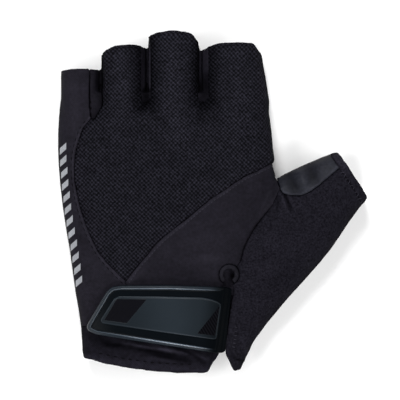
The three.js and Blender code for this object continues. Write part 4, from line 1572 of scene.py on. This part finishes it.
def build_panels(form: Form) -> dict[str, Piece]:
    """Makes the sewn panels.

    Args:
        form: the smoothed form that they follow.

    Returns:
        The panels by the name of the node that each stands for.
    """
    # Seam marks are painted light: edge_shade is a painted highlight on a folded edge, line_shade painted
    # shadow in a seam's line and side_shade painted shade down a finger's sides. A fold's sixth number
    # multiplies the colour, mostly as painted light: above 1 a painted highlight along a ridge, below 1
    # painted shade in a furrow or hollow.
    upper = {"lip": 0.4 * MM, "groove": 0.25 * MM, "swell": 0.12 * MM, "edge_shade": 1.5}
    lower = {"lip": -0.35 * MM, "lip_width": 1.8 * MM, "line_shade": 0.45, "line_width": 0.45 * MM}
    slit = {"lip": -0.1 * MM, "line_shade": 0.9, "side_shade": 0.35, "side_width": 5 * MM,
            "close": 0.4 * MM, "close_width": 1.8 * MM}
    walls = (Seam("back_mesh_panel", line_shade=0.9, close=0.4 * MM, close_width=1.8 * MM),)
    level = {"line_shade": 0.8, "close": 0.2 * MM}
    ring = Seam("keyhole_binding", lip=0.5 * MM, lip_width=1.4 * MM, line_shade=0.2, line_width=0.6 * MM)
    panels = [
        Panel("back_mesh_panel", AIR_MESH, (
            Seam("outer_side_panel", **lower),
            Seam("wrist_back_panel", **lower),
            Seam("fourchette_little_ring", lip=-0.2 * MM, line_shade=0.6, side_shade=0.7),
            Seam("fourchette_ring_middle", **slit),
            Seam("fourchette_middle_index", **slit),
        ), (
            Fold((146, 95), (147, 103), (139, 112), -1.1, 1.6, 0.5),
            Fold((149, 97), (153, 106), (159, 118), -0.6, 2.0, 0.8),
            Fold((143, 100), (134, 110), (128, 116), -0.4, 1.8, 0.8),
            Fold((204, 98), (205, 108), (199, 122), -0.8, 2.4, 0.7),
            Fold((208, 98), (214, 106), (222, 114), -0.4, 2.0, 0.85),
            Fold((124, 50), (124, 90), (118, 130), 0.35, 4.0, 1.25, taper=0.3),
            Fold((172, 38), (174, 80), (176, 140), 0.35, 4.0, 1.35, taper=0.3),
            Fold((236, 50), (238, 90), (232, 150), 0.3, 5.0, 1.2, taper=0.3),
        )),
        Panel("outer_side_panel", ELASTANE, (
            Seam("back_mesh_panel", **upper),
            Seam("cuff", **level),
        ), (
            Fold((72, 176), (78, 182), (80, 192), -0.3, 2.0, 0.85),
            Fold((74, 232), (82, 238), (90, 250), -0.3, 2.2, 0.85),
            Fold((74, 80), (76, 100), (74, 130), 0.2, 3.0, 1.25, taper=0.3),
        ), shade=0.95),
        Panel("wrist_back_panel", ELASTANE, (
            Seam("back_mesh_panel", **upper),
            Seam("thumb_back_panel", line_shade=0.95, close=0.25 * MM),
            ring,
        ), (
            Fold((241, 260), (246, 232), (272, 206), -0.4, 0.6, 0.4, taper=0.3, steps=60),
            Fold((196, 260), (210, 257), (224, 258), 0.5, 2.4, 1.35),
            Fold((150, 270), (180, 272), (214, 277), -0.4, 3.5, 0.8),
            Fold((129, 283), (136, 276), (146, 270), 0.35, 1.6, 1.2),
            Fold((185, 245), (205, 240), (225, 232), 0.2, 6, 1.15),
        ), shade=0.9),
        Panel("thumb_back_panel", SUEDE, (
            Seam("wrist_back_panel", swell=0.3 * MM, line_shade=0.95, close=0.25 * MM),
            Seam("thumb_gusset", lip=-0.3 * MM, swell=0.2 * MM, line_shade=0.6, line_width=0.4 * MM),
            Seam("thumb_hem", **level),
            replace(ring, lip=0.4 * MM),
        ), (
            Fold((241, 260), (246, 232), (272, 206), -0.4, 0.6, 0.5, taper=0.3, steps=60),
            Fold((281, 186), (286, 198), (291, 211), -1.1, 0.8, 0.3, steps=50),
            Fold((279, 190), (283, 202), (288, 213), 0.5, 0.7, 1.5, steps=50),
            Fold((284, 192), (290, 201), (295, 210), 0.4, 0.8, 1.4, steps=50),
            Fold((276, 196), (277, 204), (276, 212), -0.5, 1.0, 0.7),
            Fold((232, 355), (239, 361), (247, 361), -0.6, 0.6, 0.4),
            Fold((241, 338), (247, 350), (248, 358), 0.35, 1.0, 1.4),
            Fold((262, 292), (280, 285), (298, 262), -0.4, 3.0, 0.88),
            Fold((250, 255), (262, 242), (280, 238), 0.35, 3.2, 1.12),
            Fold((236, 300), (234, 320), (230, 345), 0.7, 1.6, 1.2, taper=0.2),
        )),
        Panel("thumb_gusset", SATIN, (
            Seam("thumb_back_panel", lip=0.5 * MM, lip_width=1.0 * MM, edge_shade=1.3),
            Seam("thumb_hem", **level),
        ), (
            Fold((288, 176), (292, 184), (297, 192), -1.2, 2.6, 0.42),
            Fold((308, 167), (311, 175), (313, 182), -1.0, 3.0, 0.45),
            Fold((299, 172), (302, 180), (306, 189), 0.5, 1.8, 1.1),
            Fold((330, 152), (336, 160), (342, 168), 0.0, 1.6, 0.7, taper=0.3),
        )),
        Panel("palm_panel", SUEDE, voxel=0.8 * MM, unevenness=0.0),
        Panel("fourchette_little_ring", ELASTANE, (
            Seam("outer_side_panel", lip=-0.3 * MM, line_shade=0.6),
            Seam("back_mesh_panel", lip=-0.2 * MM, line_shade=0.5, side_shade=0.45),
        ), unevenness=0.0, shade=0.78),
        Panel("fourchette_ring_middle", ELASTANE, walls, (
            Fold((149.4, 46), (149.4, 70), (149.2, 97), 0.7, 0.55, 1.6, taper=0.2, steps=60),
            Fold((146.5, 93), (146.5, 99), (146.5, 106), -0.8, 2.4, 0.2, taper=0.1),
        ), voxel=0.35 * MM, unevenness=0.0, shade=0.8),
        Panel("fourchette_middle_index", ELASTANE, walls, (
            Fold((203, 106), (204, 94), (205, 78), -0.7, 3.0, 0.3, taper=0.1),
        ), unevenness=0.0),
        Panel("thumb_hem", SUEDE, (
            Seam("thumb_back_panel", **level),
            Seam("thumb_gusset", **level),
        ), (
            Fold((331, 150), (339, 158), (346, 168), 0.1, 2.6, 2.0, taper=0.3),
        )),
        Panel("cuff", CUFF_KNIT, (Seam("outer_side_panel", **level),), (
            Fold((124, 342), (150, 346), (182, 353), 1.3, 1.1, 2.3, steps=70),
            Fold((166, 346), (186, 350), (208, 359), 1.1, 1.1, 2.4, steps=70),
            Fold((128, 347), (156, 350), (188, 357), -1.0, 1.1, 0.25, steps=70),
            Fold((176, 346), (192, 352), (206, 362), -1.0, 1.0, 0.25, steps=70),
            Fold((150, 341), (164, 346), (172, 351), 0.7, 0.8, 1.8),
            Fold((104, 343), (120, 345), (134, 345), -0.7, 1.0, 0.4, steps=50),
            Fold((146, 353), (168, 355), (192, 361), -0.6, 0.7, 0.4, steps=60),
            Fold((140, 356), (160, 358), (176, 361), 0.4, 0.7, 1.5, steps=50),
            Fold((92, 338), (106, 341), (120, 346), -0.4, 2.2, 0.6),
            Fold((88, 357), (140, 366), (206, 369), 0.3, 1.8, 1.7, steps=60, taper=0.1),
        )),
        Panel("keyhole_binding", TAPE, voxel=0.3 * MM, unevenness=0.0, soften=8, shade=1.1,
              meets_palm=False),
        Panel("strap_web", CUFF_KNIT, voxel=0.4 * MM, unevenness=0.0, shade=0.9, meets_palm=False),
    ]
    return {panel.node: panel.build(form) for panel in panels}


def far_edge(pieces: list[Piece], xs: Array, top: float, inset: float) -> Array:
    """Line beside the upper edge of some cloth, seen from above.

    Args:
        pieces: the cloth.
        xs: where the line's points lie across the glove.
        top: y beyond the edge.
        inset: how far inside the edge the line runs.

    Returns:
        Plan points.
    """
    trees = [finished_tree(piece) for piece in pieces]
    line = []
    for x in xs:
        y = top
        while all(from_above(tree, x, y)[0] is None for tree in trees):
            y -= EDGE_STEP
            if y < top - EDGE_REACH:
                break
        line.append((x, y - inset))
    return np.array(line)


def build_stitches(cloth: dict[str, Piece]) -> None:
    """Sews the panels.

    Args:
        cloth: the panels by node.
    """
    side, wrist, thumb = cloth["outer_side_panel"], cloth["wrist_back_panel"], cloth["thumb_back_panel"]
    mesh, cuff = cloth["back_mesh_panel"], cloth["cuff"]
    outer = seam_path("outer_side_panel", "back_mesh_panel", 1)
    inner = seam_path("wrist_back_panel", "back_mesh_panel", 0)
    hem = seam_path("thumb_hem", "thumb_back_panel", 1)
    cuff_hem = evened(photo_line((98, 352), (125, 357.5), (155, 361.5), (200, 363.5)), MM)
    lip = evened(photo_line((236.5, 325), (235, 337), (232.5, 351)), MM)
    strip = evened(photo_line((90, 73), (90.2, 95), (92, 110), (90, 121)), MM)
    rows = [
        Stitching("side_seam_stitches", beside(outer, 1.2 * MM), [side], DARK_THREAD_AND_PIT_SHADE),
        Stitching("strip_stitches", strip, [side, cloth["fourchette_little_ring"]], DARK_THREAD_AND_PIT_SHADE,
                  length=1.3 * MM, radius=0.32 * MM),
        Stitching("wrist_seam_stitches", beside(inner, -1.0 * MM), [wrist], THREAD, 1.7 * MM,
                  1.1 * MM, 0.17 * MM),
        Stitching("thumb_hem_stitches", hem, [cloth["thumb_hem"], thumb], THREAD,
                  1.8 * MM, 0.9 * MM, 0.14 * MM, zigzag=0.9 * MM),
        Stitching("cuff_hem_stitches", cuff_hem, [cuff], DARK_THREAD_AND_PIT_SHADE, 3.4 * MM, 2.0 * MM, 0.28 * MM),
        Stitching("slit_lip_stitches", lip, [thumb], THREAD, 1.8 * MM, 1.4 * MM, 0.17 * MM, square=True),
    ]
    # First and last column and upper row of each finger end on the photo's frame.
    ends = {"ring": (106, 141, 36), "middle": (153, 194, 20), "index": (212, 252, 30)}
    for name, (first, last, top) in ends.items():
        xs = np.linspace(plan(first, 0)[0], plan(last, 0)[0], 40)
        edge = far_edge([mesh], xs, plan(0, top)[1], 1.3 * MM)
        rows.append(Stitching(name + "_end_stitches", evened(edge, MM), [mesh], DARK_THREAD_AND_PIT_SHADE, 2.1 * MM,
                              1.2 * MM, 0.22 * MM))
    for row in rows:
        row.build()


def main() -> None:
    """Builds the glove's pieces in order, then the studio."""
    logging.basicConfig(level=logging.INFO, format="%(message)s")
    form = Form()
    cloth = build_panels(form)
    build_stitches(cloth)
    StrapTab().build()
    SlitUnderlap().build()
    SilverBars(cloth["outer_side_panel"]).build()
    build_studio()
    build_camera()


if __name__ == "__main__":
    main()
